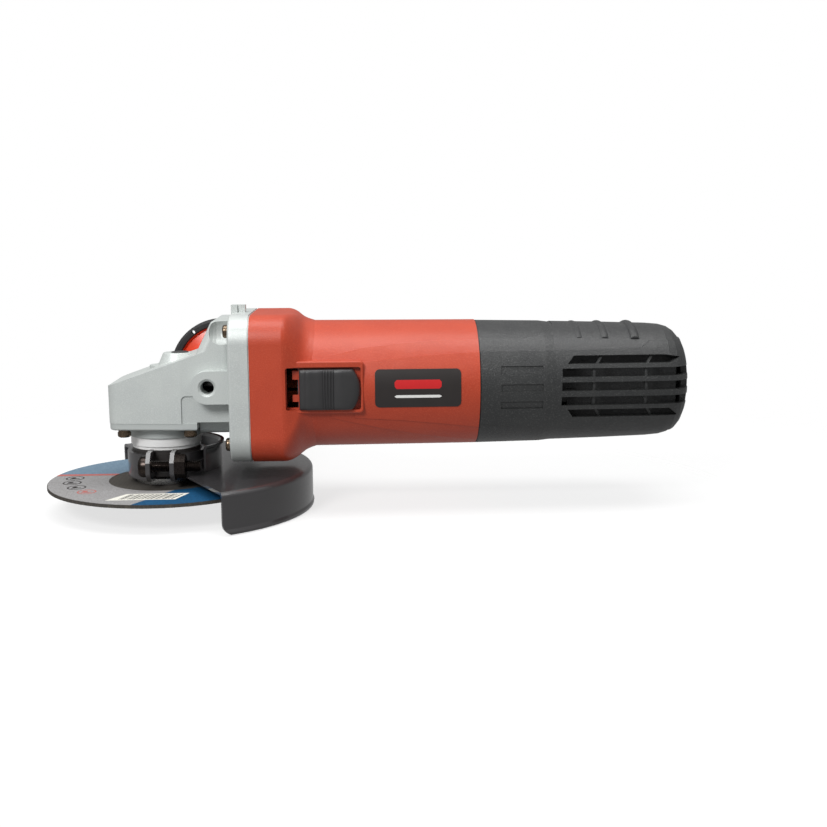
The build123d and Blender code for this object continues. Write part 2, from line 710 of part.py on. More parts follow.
def winding_slots(width, inner, outer):
    """Twelve radial bars along the armature core."""
    bar = block(ARMATURE_CORE_X, (-width / 2, width / 2), (inner, outer))
    return [Pos(0, 0, MOTOR_Z) * Rot(30 * index, 0, 0) * bar for index in range(12)]


def armature_core():
    core = cyl_x(ARMATURE_RADIUS, ARMATURE_CORE_X) - cyl_x(SHAFT_RADIUS, ARMATURE_CORE_X)
    return core - winding_slots(2.6, 9.5, 16.4) - winding_slots(0.9, 16.0, 19.0)


def armature_windings():
    low, high = ARMATURE_CORE_X
    shape = None
    for x_range in ((low - 7.0, low), (high, high + 8.0)):
        bell = cyl_x(16.2, x_range) - cyl_x(SHAFT_RADIUS, x_range)
        outer_end = 0 if x_range[0] < low else -1
        rim = bell.edges().group_by(Axis.X)[outer_end].sort_by(SortBy.LENGTH)[-1]
        bell = fillet(rim, 2.5)
        shape = bell if shape is None else shape + bell
    return shape + winding_slots(2.6, 9.5, 16.2)


def commutator():
    drum = cyl_x(COMMUTATOR_RADIUS, COMMUTATOR_X) - cyl_x(SHAFT_RADIUS, COMMUTATOR_X)
    depth = (COMMUTATOR_RADIUS - 1.0, COMMUTATOR_RADIUS + 1.0)
    gap = block((COMMUTATOR_X[0] + 2.5, COMMUTATOR_X[1] + 1), (-0.3, 0.3), depth)
    return drum - [Pos(0, 0, MOTOR_Z) * Rot(15 * index, 0, 0) * gap for index in range(24)]


def cooling_fan():
    low, high = FAN_X
    shape = cyl_x(30.8, (high - 1.8, high)) + cyl_x(9.5, (low + 1.0, high))
    blade = block((low, high - 1.8), (-0.8, 0.8), (15.0, 30.2))
    shape = shape + [Pos(0, 0, MOTOR_Z) * Rot(24 * index, 0, 0) * blade for index in range(15)]
    return shape - cyl_x(SHAFT_RADIUS, (low - 1, high + 1))


def front_armature_bearing():
    pieces = ball_bearing(SHAFT_RADIUS, 13.0, 8.0, 8)
    return [Pos(FRONT_BEARING_X[0], 0, MOTOR_Z) * Rot(0, 90, 0) * piece for piece in pieces]


def rear_armature_bearing():
    pieces = ball_bearing(3.5, 9.5, 6.0, 7)
    return [Pos(REAR_BEARING_X[0], 0, MOTOR_Z) * Rot(0, 90, 0) * piece for piece in pieces]


def rear_bearing_sleeve():
    low, high = REAR_BEARING_X
    return cyl_x(11.0, (low, high + 1.0)) - cyl_x(9.5, (low, high)) - cyl_x(7.5, (low, high + 1.0))


def bearing_retainer():
    x_range = (FRONT_BEARING_X[1], FRONT_BEARING_X[1] + 2.0)
    plate = cyl_x(18.0, x_range) - cyl_x(9.0, x_range)
    for y, z in retainer_screw_places():
        plate -= cyl_x(1.6, x_range, y=y, z=z)
    return plate


def retainer_screws():
    screw = Rot(0, -90, 0) * pan_screw(2.4, 1.6, 1.2, 9.0)
    return [Pos(FRONT_BEARING_X[1] + 2.0, y, z) * screw for y, z in retainer_screw_places()]


# ---------------------------------------------------------------- motor housing

def shoulder_section(x, half_width, half_height, corner):
    """Rounded rectangle across the motor, between the square flange and the barrel."""
    rounded = (corner - FLANGE_CORNER) / (HOUSING_FRONT_RADIUS - FLANGE_CORNER)
    middle = FLANGE_Z + (MOTOR_Z - FLANGE_Z) * rounded
    plane = Plane(origin=(x, 0, middle), x_dir=(0, 1, 0), z_dir=(1, 0, 0))
    section = Rectangle(2 * half_width, 2 * half_height)
    return plane * fillet(section.vertices(), corner)


def square_shoulder():
    """Skin that takes the square front down to the round barrel."""
    sections = [shoulder_section(*values) for values in SHOULDER_SECTIONS]
    return loft(sections)


def barrel(lift=0.0):
    """Tapered round barrel from the shoulder to the rear edge."""
    return turned_x([
        (BARREL_START_X, 0),
        (BARREL_START_X, HOUSING_FRONT_RADIUS + lift),
        (HOUSING_REAR_X, HOUSING_REAR_RADIUS + lift),
        (HOUSING_REAR_X, 0),
    ])


def barrel_bands():
    """Shallow raised bands that fan out along both sides of the barrel."""
    bands = []
    outer = (BAND_STEP, OUTER_BAND_TOP, OUTER_BAND_LOW)
    inner = (2 * BAND_STEP, INNER_BAND_TOP, INNER_BAND_LOW)
    for lift, upper, lower in (outer, inner):
        region = prism_y([*upper, *reversed(lower)], (-40.0, 0.0))
        band = barrel(lift) & region
        bands += [band, mirrored_y(band)]
    return bands


def switch_frame():
    """Raised flat frame around the switch pocket."""
    frame = block(FRAME_X, (FRAME_FACE_Y, -24.0), FRAME_Z)
    frame = fillet(frame.edges().filter_by(Axis.Y), 2.0)
    return fillet(frame.edges().group_by(Axis.Y)[0], 0.8)


def switch_pocket():
    """Sunk field for the knob, open through the wall ahead of it save for two stops."""
    pocket = block(POCKET_X, (-45.0, POCKET_FLOOR_Y), POCKET_Z)
    pocket = fillet(pocket.edges().filter_by(Axis.Y), 1.2)
    middle = MOTOR_Z + 0.4
    stem_slot = block((77.0, 95.0), (-45.0, -24.0), (middle - 2.4, middle + 2.4))
    window_z = (POCKET_Z[0] + 0.8, POCKET_Z[1] - 0.8)
    window = block((POCKET_X[0] + 0.4, KNOB_X[0] - 0.5), (-45.0, -24.0), window_z)
    stops = [block((69.5, KNOB_X[0]), (POCKET_FLOOR_Y, -29.0), z_range) for z_range in KNOB_STOPS_Z]
    return pocket + stem_slot + (window - stops)


def rear_spider():
    """Rear bearing seat on three arms, with the pads that carry the brush holders."""
    seat_x = (REAR_BEARING_X[0] - 1.5, REAR_BEARING_X[1] + 3.0)
    shape = cyl_x(15.0, seat_x)
    for turn in (0, 90, 180):
        arm = block(seat_x, (-3.5, 3.5), (10.0, HOUSING_BORE + 0.6))
        shape += Pos(0, 0, MOTOR_Z) * Rot(-turn, 0, 0) * arm
    shape -= cyl_x(11.05, (REAR_BEARING_X[0], REAR_BEARING_X[1] + 1.0))
    return shape - cyl_x(7.0, (seat_x[0] - 1, seat_x[1] + 1))


def motor_housing():
    shape = square_prism((FLANGE_REAR_X, SHOULDER_SECTIONS[0][0])) - seam_groove(FLANGE_REAR_X, 1)
    shape = shape + square_shoulder() + barrel() + switch_frame()
    for band in barrel_bands():
        shape += band
    spigot_x = (HOUSING_REAR_X - 1.0, HOUSING_REAR_X + 5.5)
    shape += cyl_x(30.4, spigot_x)
    shape += cyl_x(34.4, (FLANGE_REAR_X - 3.0, FLANGE_REAR_X + 1.0))
    shape -= cyl_x(FAN_CHAMBER_BORE, (FLANGE_REAR_X - 4.0, BAFFLE_X[1]))
    shape -= cyl_x(HOUSING_BORE, (BAFFLE_X[1] - 1, HOUSING_REAR_X - 5.0))
    shape -= cyl_x(28.4, (HOUSING_REAR_X - 6.0, spigot_x[1] + 1))
    shape -= switch_pocket()
    rod_path = block((140.0, spigot_x[1] + 1), (-31.2, -24.0), (MOTOR_Z - 5.5, MOTOR_Z + 6.0))
    shape -= rod_path
    for y, z in flange_screw_places():
        shape -= cyl_x(2.0, (FLANGE_REAR_X - 4.0, 62.0), y=y, z=z)
    return shape + rear_spider()


def fan_baffle():
    ring = cyl_x(FAN_CHAMBER_BORE - 0.05, BAFFLE_X) - cyl_x(25.5, BAFFLE_X)
    lip_x = (BAFFLE_X[0] - 0.8, BAFFLE_X[1])
    lip = cyl_x(26.5, lip_x) - cyl_x(25.5, lip_x)
    return ring + lip


def stator_core():
    low, high = STATOR_X
    body = cyl_x(STATOR_RADIUS, STATOR_X) & block(STATOR_X, (-STATOR_FLAT, STATOR_FLAT), (20, 110))
    body -= cyl_x(18.4, STATOR_X)
    window = cyl_x(COIL_RADII[1] + 0.1, STATOR_X) & block(STATOR_X, (-40, 40), (MOTOR_Z - 9.1, MOTOR_Z + 9.1))
    return body - window


def stator_coils():
    inner, outer = COIL_RADII
    ring = cyl_x(outer, COIL_X) - cyl_x(inner, COIL_X)
    upper = ring & block(COIL_X, (-40, 40), (MOTOR_Z + 0.8, MOTOR_Z + 40))
    upper -= block(STATOR_X, (-40, 40), (MOTOR_Z + 9.0, MOTOR_Z + 40))
    lower = ring & block(COIL_X, (-40, 40), (MOTOR_Z - 40, MOTOR_Z - 0.8))
    lower -= block(STATOR_X, (-40, 40), (MOTOR_Z - 40, MOTOR_Z - 9.0))
    return [upper, lower]


def about_motor_axis(shapes, turns):
    return [Pos(0, 0, MOTOR_Z) * Rot(turn, 0, 0) * shape for turn in turns for shape in shapes]


def brush_holders():
    outer = block((BRUSH_X - 5.0, BRUSH_X + 5.0), (-3.5, 3.5), (14.0, 29.4))
    outer += block((BRUSH_X - 5.0, REAR_BEARING_X[0] - 1.5), (-3.5, 3.5), (26.0, 29.4))
    inner = block((BRUSH_X - 4.05, BRUSH_X + 4.05), (-2.55, 2.55), (13.0, 27.9))
    return about_motor_axis([outer - inner], (0, 180))


def carbon_brushes():
    brush = block((BRUSH_X - 4.0, BRUSH_X + 4.0), (-2.5, 2.5), (11.0, 22.5))
    drum = Rot(0, 90, 0) * Cylinder(COMMUTATOR_RADIUS + FIT, 400)
    return about_motor_axis([brush - drum], (0, 180))


def brush_springs():
    spring = Pos(BRUSH_X, 0, 0) * coil_spring(1.8, 0.5, 5, 22.5, 27.9)
    return about_motor_axis([spring], (0, 180))


# ---------------------------------------------------------------- rear cover

def cover_outline(inset):
    """(x, radius) points of the rear cover, from its front edge to the dished end."""
    end = COVER_REAR_X - inset
    return [
        (HOUSING_REAR_X, 0),
        (HOUSING_REAR_X, HOUSING_REAR_RADIUS - inset),
        (200.0, 32.6 - inset),
        (205.0, 32.0 - inset),
        (234.0, 31.3 - inset),
        (258.0, 30.5 - inset),
        (265.0 - inset * 0.2, 29.9 - inset),
        (269.0 - inset * 0.3, 28.8 - inset),
        (271.8 - inset * 0.5, 27.0 - inset * 0.9),
        (273.9 - inset * 0.7, 24.6 - inset * 0.8),
        (275.6 - inset * 0.85, 21.2 - inset * 0.6),
        (276.8 - inset, 16.4),
        (end - 0.4, 10.0),
        (end, 5.0),
        (end, 0),
    ]


def slanted_bar(low, high, width=1.4):
    """Thin bar across a slot, from its (x, z) foot to its head."""
    outline = [low, (low[0] + width, low[1]), (high[0] + width, high[1]), high]
    return prism_y(outline, (-41.0, -9.0))


def vent_slots():
    """Rows of air slots on the near side, with thin sunk bars left inside."""
    bars_inside = turned_x(cover_outline(1.2))
    slots = []
    for outline, bars in SLOT_ROWS:
        slot = prism_y(outline, (-40.0, SLOT_DEPTH_Y))
        for low, high in bars:
            slot -= slanted_bar(low, high) & bars_inside
        slots.append(slot)
    return slots


def decor_panels():
    low_x, high_x = PANEL_X
    outside = turned_x(cover_outline(-BAND_STEP * 2 - 0.1))
    kept = turned_x(cover_outline(PANEL_DEPTH - 2 * BAND_STEP))
    panels = []
    for z_range in PANEL_ROWS:
        panel = block((low_x, high_x), (-40.0, -20.0), z_range)
        panels.append((panel & outside) - kept)
    return panels


def cover_relief():
    """Raised side field and finger ridges on top, as solids to add to the shell."""
    field = turned_x(cover_outline(-2 * BAND_STEP)) & prism_y(SIDE_FIELD, (-40.0, 0.0))
    pieces = [field, mirrored_y(field)]
    ridge_x = (FINGER_RIDGES[0] - 5.0, FINGER_RIDGES[-1] + 5.0)
    above = block(ridge_x, (-20.0, 20.0), (MOTOR_Z + 24.0, MOTOR_Z + 40.0))
    for x in FINGER_RIDGES:
        ring = Pos(x, 0, MOTOR_Z) * Rot(0, 90, 0) * Torus(29.0, 3.1)
        pieces.append(ring & above)
    return pieces


def top_front_field():
    """Thin skin taken off the top of the cover ahead of the swept line."""
    skin = turned_x(cover_outline(-1.0)) - turned_x(cover_outline(0.35))
    return skin & prism_y(SWEPT_FIELD, (-40.0, 40.0))


def air_baffles():
    """Walls behind the slots, one in each half."""
    wall = block((213.5, 272.0), (-14.5, -13.0), (MOTOR_Z - 40, MOTOR_Z + 40))
    wall = wall & turned_x(cover_outline(COVER_WALL - 0.5))
    return [wall, mirrored_y(wall)]


def cover_shell():
    shell = turned_x(cover_outline(0.0))
    shell -= top_front_field()
    for piece in cover_relief():
        shell += piece
    shell -= turned_x(cover_outline(COVER_WALL))
    # inward rim that closes on the motor housing's spigot
    shell -= cyl_x(30.6, (HOUSING_REAR_X - 1, HOUSING_REAR_X + 6.0))
    front_edge = (HOUSING_REAR_X - 1.0, HOUSING_REAR_X + SEAM_WIDTH)
    shell -= cyl_x(40.0, front_edge) - cyl_x(HOUSING_REAR_RADIUS - SEAM_DEPTH, front_edge)
    for wall in air_baffles():
        shell += wall
    for slot in vent_slots():
        shell -= slot
        shell -= mirrored_y(slot)
    for panel in decor_panels():
        shell -= panel
        shell -= mirrored_y(panel)
    inside = turned_x(cover_outline(COVER_WALL - 0.5))
    for x, offset in COVER_SCREWS:
        post = cyl_y(4.0, (-30.0, 30.0), x=x, z=MOTOR_Z + offset)
        shell += post & inside
        shell -= cyl_y(1.6, (-8.0, 30.0), x=x, z=MOTOR_Z + offset)
        shell -= cyl_y(3.1, (13.0, 30.0), x=x, z=MOTOR_Z + offset)
    neck = cyl_x(9.0, (CORD_NECK_X, COVER_REAR_X - 0.6)) & turned_x(cover_outline(0.0))
    shell += neck
    shell -= cyl_x(CORD_HOLE_RADIUS, (CORD_NECK_X - 12.0, COVER_REAR_X + 1))
    return shell


def cover_halves():
    shell = cover_shell()
    left = shell & block((160, 290), (-45, 0), (20, 110))
    right = shell & block((160, 290), (0, 45), (20, 110))
    return left, right


def rear_cover_screws():
    screw = Rot(90, 0, 0) * pan_screw(2.9, 2.2, 1.55, 20.0)
    return [Pos(x, 13.0, MOTOR_Z + offset) * screw for x, offset in COVER_SCREWS]


def power_switch():
    body = block((186.0, 212.0), (-22.0, -7.0), (MOTOR_Z - 9.0, MOTOR_Z + 9.0))
    body = fillet(body.edges().filter_by(Axis.Y), 1.0)
    lever = block((188.0, 190.4), (-25.5, -22.0), (MOTOR_Z - 2.5, MOTOR_Z + 2.5))
    for z in (MOTOR_Z - 5.0, MOTOR_Z + 5.0):
        body += block((212.0, 218.0), (-16.0, -15.2), (z - 2.0, z + 2.0))
    return body + lever


def capacitor():
    can = cyl_x(7.5, (183.0, 211.0), y=11.0, z=MOTOR_Z + 4.0)
    return fillet(can.edges().filter_by(GeomType.CIRCLE), 1.2)


def cord_clamp():
    bar = block((246.0, 254.0), (-12.0, 12.0), (MOTOR_Z + 5.0, MOTOR_Z + 8.0))
    bar = fillet(bar.edges().filter_by(Axis.Z), 2.0)
    for y in (-8.5, 8.5):
        bar -= cyl_z(1.7, (MOTOR_Z, MOTOR_Z + 12.0), x=250.0, y=y)
    return bar


def cord_clamp_screws():
    screw = Rot(180, 0, 0) * pan_screw(2.6, 2.0, 1.5, 12.0)
    return [Pos(250.0, y, MOTOR_Z + 8.0) * screw for y in (-8.5, 8.5)]


def rating_label():
    """Thin plate bent to the barrel's raised band."""
    plate = block((111.4, 155.4), (-40.0, -20.0), (55.0, 74.5))
    plate = fillet(plate.edges().filter_by(Axis.Y), 2.4)
    face = 2 * BAND_STEP
    return (plate & barrel(face + LABEL_THICKNESS)) - barrel(face)


# ---------------------------------------------------------------- slide switch

def switch_knob():
    """Slide knob: ramped front end, a few fine ribs and a rounded rear end."""
    low_x, high_x = KNOB_X
    base_y = POCKET_FLOOR_Y - GAP
    outline = [
        (low_x, base_y),
        (low_x, -36.4),
        (low_x + 0.6, -37.2),
        (low_x + 2.4, -37.4),
        (low_x + 3.6, KNOB_FACE_Y),
        (high_x - 4.0, KNOB_FACE_Y),
        (high_x - 0.8, -37.4),
        (high_x, -36.4),
        (high_x, base_y),
    ]
    face = make_face(Polyline(*[(x, y, KNOB_Z[0]) for x, y in outline], close=True))
    knob = extrude(face, KNOB_Z[1] - KNOB_Z[0], dir=(0, 0, 1))
    for index in range(KNOB_RIBS):
        x = low_x + 11.8 + KNOB_RIB_PITCH * index
        knob -= block((x - 0.4, x + 0.4), (KNOB_FACE_Y - 1, KNOB_FACE_Y + 0.5), KNOB_Z)
    knob = knob & knob_plan()
    middle = MOTOR_Z + 0.4
    stem = block((84.0, 94.5), (base_y - 0.5, ROD_Y[0]), (middle - 2.0, middle + 2.0))
    return knob + stem


def knob_plan():
    """Outline seen from the side: square front corners and a bowed rear end."""
    middle = (KNOB_Z[0] + KNOB_Z[1]) / 2
    bow = 16.0
    body = block(KNOB_X, (-45.0, -30.0), KNOB_Z)
    rounded = cyl_y(bow, (-45.0, -30.0), x=KNOB_X[1] - bow, z=middle)
    square_part = block((60.0, KNOB_X[1] - bow), (-45.0, -30.0), KNOB_Z)
    return body & (rounded + square_part)


def switch_link_rod():
    middle = MOTOR_Z + 0.4
    rod = block((78.0, 184.0), ROD_Y, (middle - 3.0, middle + 3.0))
    fork = block((182.0, 196.0), (ROD_Y[0], -26.0), (middle - 3.0, middle + 3.0))
    notch = block((187.0, 191.4), (-28.2, -25.0), (middle - 5.0, middle + 5.0))
    return rod + fork - notch


# ---------------------------------------------------------------- spindle lock

def lock_button():
    button = cyl_z(LOCK_BUTTON_RADIUS, LOCK_BUTTON_Z, x=LOCK_X)
    return fillet(button.edges().sort_by(Axis.Z)[-1], 0.5)


def lock_pin():
    return cyl_z(LOCK_PIN_RADIUS, (LOCK_PIN_TIP_Z, LOCK_BUTTON_Z[0]), x=LOCK_X)


def lock_spring():
    return Pos(LOCK_X, 0, 0) * coil_spring(2.9, 0.6, 4, LOCK_FLOOR_Z + 0.05, LOCK_BUTTON_Z[0] - 0.05)


# ---------------------------------------------------------------- guard

def rim_arc(radius, angles):
    """(radius, z) points round the guard's upper rim."""
    bend = GUARD_RIM
    points = []
    for angle in angles:
        turn = math.radians(angle)
        outwards = GUARD_RADIUS - bend + radius * math.sin(turn)
        points.append((outwards, GUARD_TOP_Z - bend + radius * math.cos(turn)))
    return points


def guard_section():
    """Sheet section from the inner turned-up edge, over the rim, to the rolled lip."""
    sheet = GUARD_SHEET
    top = GUARD_TOP_Z
    outer = GUARD_RADIUS
    lip = GUARD_BOTTOM_Z
    skirt = [
        (outer, lip + 3.0),
        (outer + 0.6, lip + 1.6),
        (outer + 0.4, lip + 0.3),
        (outer - 0.6, lip),
        (outer - 1.9, lip + 0.8),
        (outer - sheet, lip + 2.4),
    ]
    web = [(22.2, top - sheet), (20.7, top - sheet), (20.7, top + 5.0), (22.2, top + 5.0), (22.2, top)]
    outside = rim_arc(GUARD_RIM, range(0, 91, 15))
    inside = rim_arc(GUARD_RIM - sheet, range(90, -1, -15))
    return [*outside, *skirt, *inside, *web]


def guard_corner_cutter(angle, side):
    """Rounds the free lower corner of the skirt at one end of the guard."""
    radius = 6.0
    across = (GUARD_RADIUS - 6.0, GUARD_RADIUS + 4.0)
    corner = block(across, (0.0, radius), (GUARD_BOTTOM_Z - 1.0, GUARD_BOTTOM_Z + radius))
    keep = cyl_x(radius, (across[0] - 1.0, across[1] + 1.0), y=radius, z=GUARD_BOTTOM_Z + radius)
    cutter = corner - keep
    if side < 0:
        cutter = mirrored_y(cutter)
    return Rot(0, 0, angle) * cutter


def guard_collar():
    """Raised collar behind the clamp, with a curled top."""
    low = GUARD_TOP_Z - 0.5
    outline = [(27.4, low), (29.0, low), (29.0, 31.6), (30.4, 32.4), (30.4, 33.6), (28.6, 33.4), (27.4, 32.0)]
    return Rot(0, 0, COLLAR_START_ANGLE) * turned_z(outline, COLLAR_SWEEP)


def wheel_guard():
    shape = Rot(0, 0, GUARD_START_ANGLE) * turned_z(guard_section(), GUARD_SWEEP)
    shape += guard_collar()
    shape -= guard_corner_cutter(GUARD_START_ANGLE, 1)
    return shape - guard_corner_cutter(GUARD_START_ANGLE + GUARD_SWEEP, -1)


def guard_clamp_band():
    band = cyl_z(20.6, CLAMP_Z) - cyl_z(NECK_RADIUS + 0.1, CLAMP_Z)
    left, right = EAR_X
    band -= block((left + 2.2, right - 2.2), (-30, 0), (CLAMP_Z[0] - 1, CLAMP_Z[1] + 1))
    for ear_x in (left, right - 2.2):
        ear = block((ear_x, ear_x + 2.2), (-33.2, -18.9), EAR_Z)
        ear = chamfer(ear.edges().filter_by(Axis.X).group_by(Axis.Y)[0], 4.6)
        band += ear
        band -= cyl_x(3.3, (ear_x - 1, ear_x + 4), y=BOLT_Y, z=BOLT_Z)
    return band


def clamp_bolt():
    """Round head at -X and a threaded end past the nut."""
    head = cyl_x(5.6, (EAR_X[0] - 4.6, EAR_X[0]), y=BOLT_Y, z=BOLT_Z)
    head = fillet(head.edges().group_by(Axis.X)[0], 1.6)
    shank = cyl_x(3.0, (EAR_X[0] - 1.0, 21.5), y=BOLT_Y, z=BOLT_Z)
    shank = chamfer(shank.edges().group_by(Axis.X)[-1], 0.6)
    return head + shank


def clamp_nut():
    plane = Plane(origin=(EAR_X[1], BOLT_Y, BOLT_Z), x_dir=(0, 0, 1), z_dir=(1, 0, 0))
    nut = extrude(plane * RegularPolygon(6.3, 6), 5.4)
    return nut - cyl_x(3.0, (EAR_X[1] - 1, EAR_X[1] + 6), y=BOLT_Y, z=BOLT_Z)


# ---------------------------------------------------------------- side handle

def side_handle_stud():
    stud = cyl_y(4.0, (HANDLE_FACE_Y - 13.0, HANDLE_FACE_Y + 30.0))
    nut = cyl_y(8.6, (HANDLE_FACE_Y, HANDLE_FACE_Y + 3.0))
    return stud + nut


def side_handle_collar():
    """Dished bright collar between the nut and the rim."""
    face = HANDLE_FACE_Y + 3.0
    low, high = HANDLE_RIM_Y
    outline = [(face, 4.0), (face, 10.0), (low - 1.0, 11.5), (high - 2.6, 24.4), (low + 1.6, 25.2),
               (high, 25.2), (high, 4.0)]
    return turned_y(outline)


def side_handle_rim():
    low, high = HANDLE_RIM_Y
    outer = HANDLE_RIM_RADIUS
    outline = [(low + 1.0, 25.2), (low, 26.0), (low, outer - 1.4), (low + 1.4, outer), (high - 1.4, outer),
               (high, outer - 1.4), (high, 25.2)]
    dot_hole = cyl_y(1.1, (low - 1.0, high + 1.0), x=HANDLE_HOLE_X - 16.1, z=HANDLE_HOLE_Z + 21.8)
    return turned_y(outline) - dot_hole


def side_handle_grip():
    """Barrel grip that swells in the middle, with finger rings near the collar."""
    start = HANDLE_RIM_Y[1]
    end = HANDLE_END_Y
    inner = 4.0
    hole = HANDLE_FACE_Y + 30.0
    outline = [
        (start, inner),
        (start, 20.0),
        (start + 3.0, 17.5),
        (start + 10.0, 15.6),
        (start + 22.0, 15.8),
        (start + 45.0, 17.6),
        (start + 70.0, 17.2),
        (start + 92.0, 15.4),
        (end - 12.0, 16.4),
        (end - 5.0, 17.0),
        (end - 1.2, 14.8),
        (end, 10.0),
        (end, 0.0),
        (hole, 0.0),
        (hole, inner),
    ]
    grip = turned_y(outline)
    for index in range(9):
        y = start + 24.0 + 7.4 * index
        ring = cyl_y(20.0, (y - 0.7, y + 0.7)) - cyl_y(14.9, (y - 0.8, y + 0.8))
        grip -= ring
    return grip


def write_parts():
    left, right = cover_halves()
    parts = {
        "gear_housing": gear_housing(),
        "spindle_bearing_plate": spindle_bearing_plate(),
        "bearing_plate_screws": bearing_plate_screws(),
        "flange_screws": flange_screws(),
        "lower_spindle_bearing": lower_spindle_bearing(),
        "upper_needle_bearing": upper_needle_bearing(),
        "dust_seal": dust_seal(),
        "spindle": spindle(),
        "gear_key": gear_key(),
        "gear_circlip": gear_circlip(),
        "bevel_gear": bevel_gear(),
        "inner_flange": inner_flange(),
        "cutting_disc": cutting_disc(),
        "disc_bore_ring": disc_bore_ring(),
        "disc_label": disc_label(),
        "lock_nut": lock_nut(),
        "armature_shaft": armature_shaft(),
        "bevel_pinion": bevel_pinion(),
        "pinion_nut": pinion_nut(),
        "armature_core": armature_core(),
        "armature_windings": armature_windings(),
        "commutator": commutator(),
        "cooling_fan": cooling_fan(),
        "front_armature_bearing": front_armature_bearing(),
        "rear_armature_bearing": rear_armature_bearing(),
        "rear_bearing_sleeve": rear_bearing_sleeve(),
        "bearing_retainer": bearing_retainer(),
        "retainer_screws": retainer_screws(),
        "motor_housing": motor_housing(),
        "fan_baffle": fan_baffle(),
        "stator_core": stator_core(),
        "stator_coils": stator_coils(),
        "brush_holders": brush_holders(),
        "carbon_brushes": carbon_brushes(),
        "brush_springs": brush_springs(),
        "rear_cover_left": left,
        "rear_cover_right": right,
        "rear_cover_screws": rear_cover_screws(),
        "power_switch": power_switch(),
        "capacitor": capacitor(),
        "cord_clamp": cord_clamp(),
        "cord_clamp_screws": cord_clamp_screws(),
        "rating_label": rating_label(),
        "switch_knob": switch_knob(),
        "switch_link_rod": switch_link_rod(),
        "lock_button": lock_button(),
        "lock_pin": lock_pin(),
        "lock_spring": lock_spring(),
        "wheel_guard": wheel_guard(),
        "guard_clamp_band": guard_clamp_band(),
        "clamp_bolt": clamp_bolt(),
        "clamp_nut": clamp_nut(),
        "side_handle_stud": side_handle_stud(),
        "side_handle_collar": side_handle_collar(),
        "side_handle_rim": side_handle_rim(),
        "side_handle_grip": side_handle_grip(),
    }
    os.makedirs("parts", exist_ok=True)
    for name, shape in parts.items():
        solids = shape if isinstance(shape, list) else [shape]
        group = Compound(children=[solid for item in solids for solid in item.solids()])
        export_step(group, f"parts/{name}.step")
        print(name, len(group.solids()), round(group.volume, 1))


write_parts()
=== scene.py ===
import bpy
import bmesh
import json
import math
from mathutils import Matrix, Vector


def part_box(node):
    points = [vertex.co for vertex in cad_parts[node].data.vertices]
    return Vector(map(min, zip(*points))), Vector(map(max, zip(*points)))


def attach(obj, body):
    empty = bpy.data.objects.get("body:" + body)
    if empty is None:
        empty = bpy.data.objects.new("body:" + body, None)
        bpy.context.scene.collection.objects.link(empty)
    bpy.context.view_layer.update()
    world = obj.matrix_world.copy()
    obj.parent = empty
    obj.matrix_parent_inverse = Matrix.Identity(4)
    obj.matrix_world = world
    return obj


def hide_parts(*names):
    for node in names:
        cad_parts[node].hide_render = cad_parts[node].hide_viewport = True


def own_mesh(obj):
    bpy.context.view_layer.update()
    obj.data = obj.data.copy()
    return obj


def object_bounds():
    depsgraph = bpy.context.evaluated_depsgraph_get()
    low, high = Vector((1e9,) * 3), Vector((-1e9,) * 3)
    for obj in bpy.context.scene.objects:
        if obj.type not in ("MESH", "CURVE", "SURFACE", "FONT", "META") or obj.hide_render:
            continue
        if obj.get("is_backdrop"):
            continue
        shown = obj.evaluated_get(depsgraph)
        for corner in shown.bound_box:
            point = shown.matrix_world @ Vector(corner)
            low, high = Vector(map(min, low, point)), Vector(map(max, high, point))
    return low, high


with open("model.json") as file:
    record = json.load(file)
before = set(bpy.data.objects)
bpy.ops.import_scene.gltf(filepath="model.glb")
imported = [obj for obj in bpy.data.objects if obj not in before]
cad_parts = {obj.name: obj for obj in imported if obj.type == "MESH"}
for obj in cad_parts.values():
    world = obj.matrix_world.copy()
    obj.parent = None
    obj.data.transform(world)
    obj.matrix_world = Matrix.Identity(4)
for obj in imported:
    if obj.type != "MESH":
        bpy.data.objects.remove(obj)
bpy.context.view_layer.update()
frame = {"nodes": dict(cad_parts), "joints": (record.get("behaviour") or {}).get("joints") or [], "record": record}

MM = 0.001
NODES = frame["nodes"]
JOINTS = {joint["name"]: joint for joint in frame["joints"]}
MOTOR_Z = JOINTS["armature_spin"]["pos_m"][2]
STAGE_Z = 37.4 * MM    # the neck is bright below this height and painted above it
BAND_Z = 31.6 * MM     # below this height the neck is painted dark as shade, inside the guard's collar


# ---------------------------------------------------------------- node helpers

def srgb(red, green, blue):
    """Linear colour of an 8-bit screen colour."""
    def linear(value):
        value = value / 255.0
        return value / 12.92 if value <= 0.04045 else ((value + 0.055) / 1.055) ** 2.4
    return (linear(red), linear(green), linear(blue), 1.0)


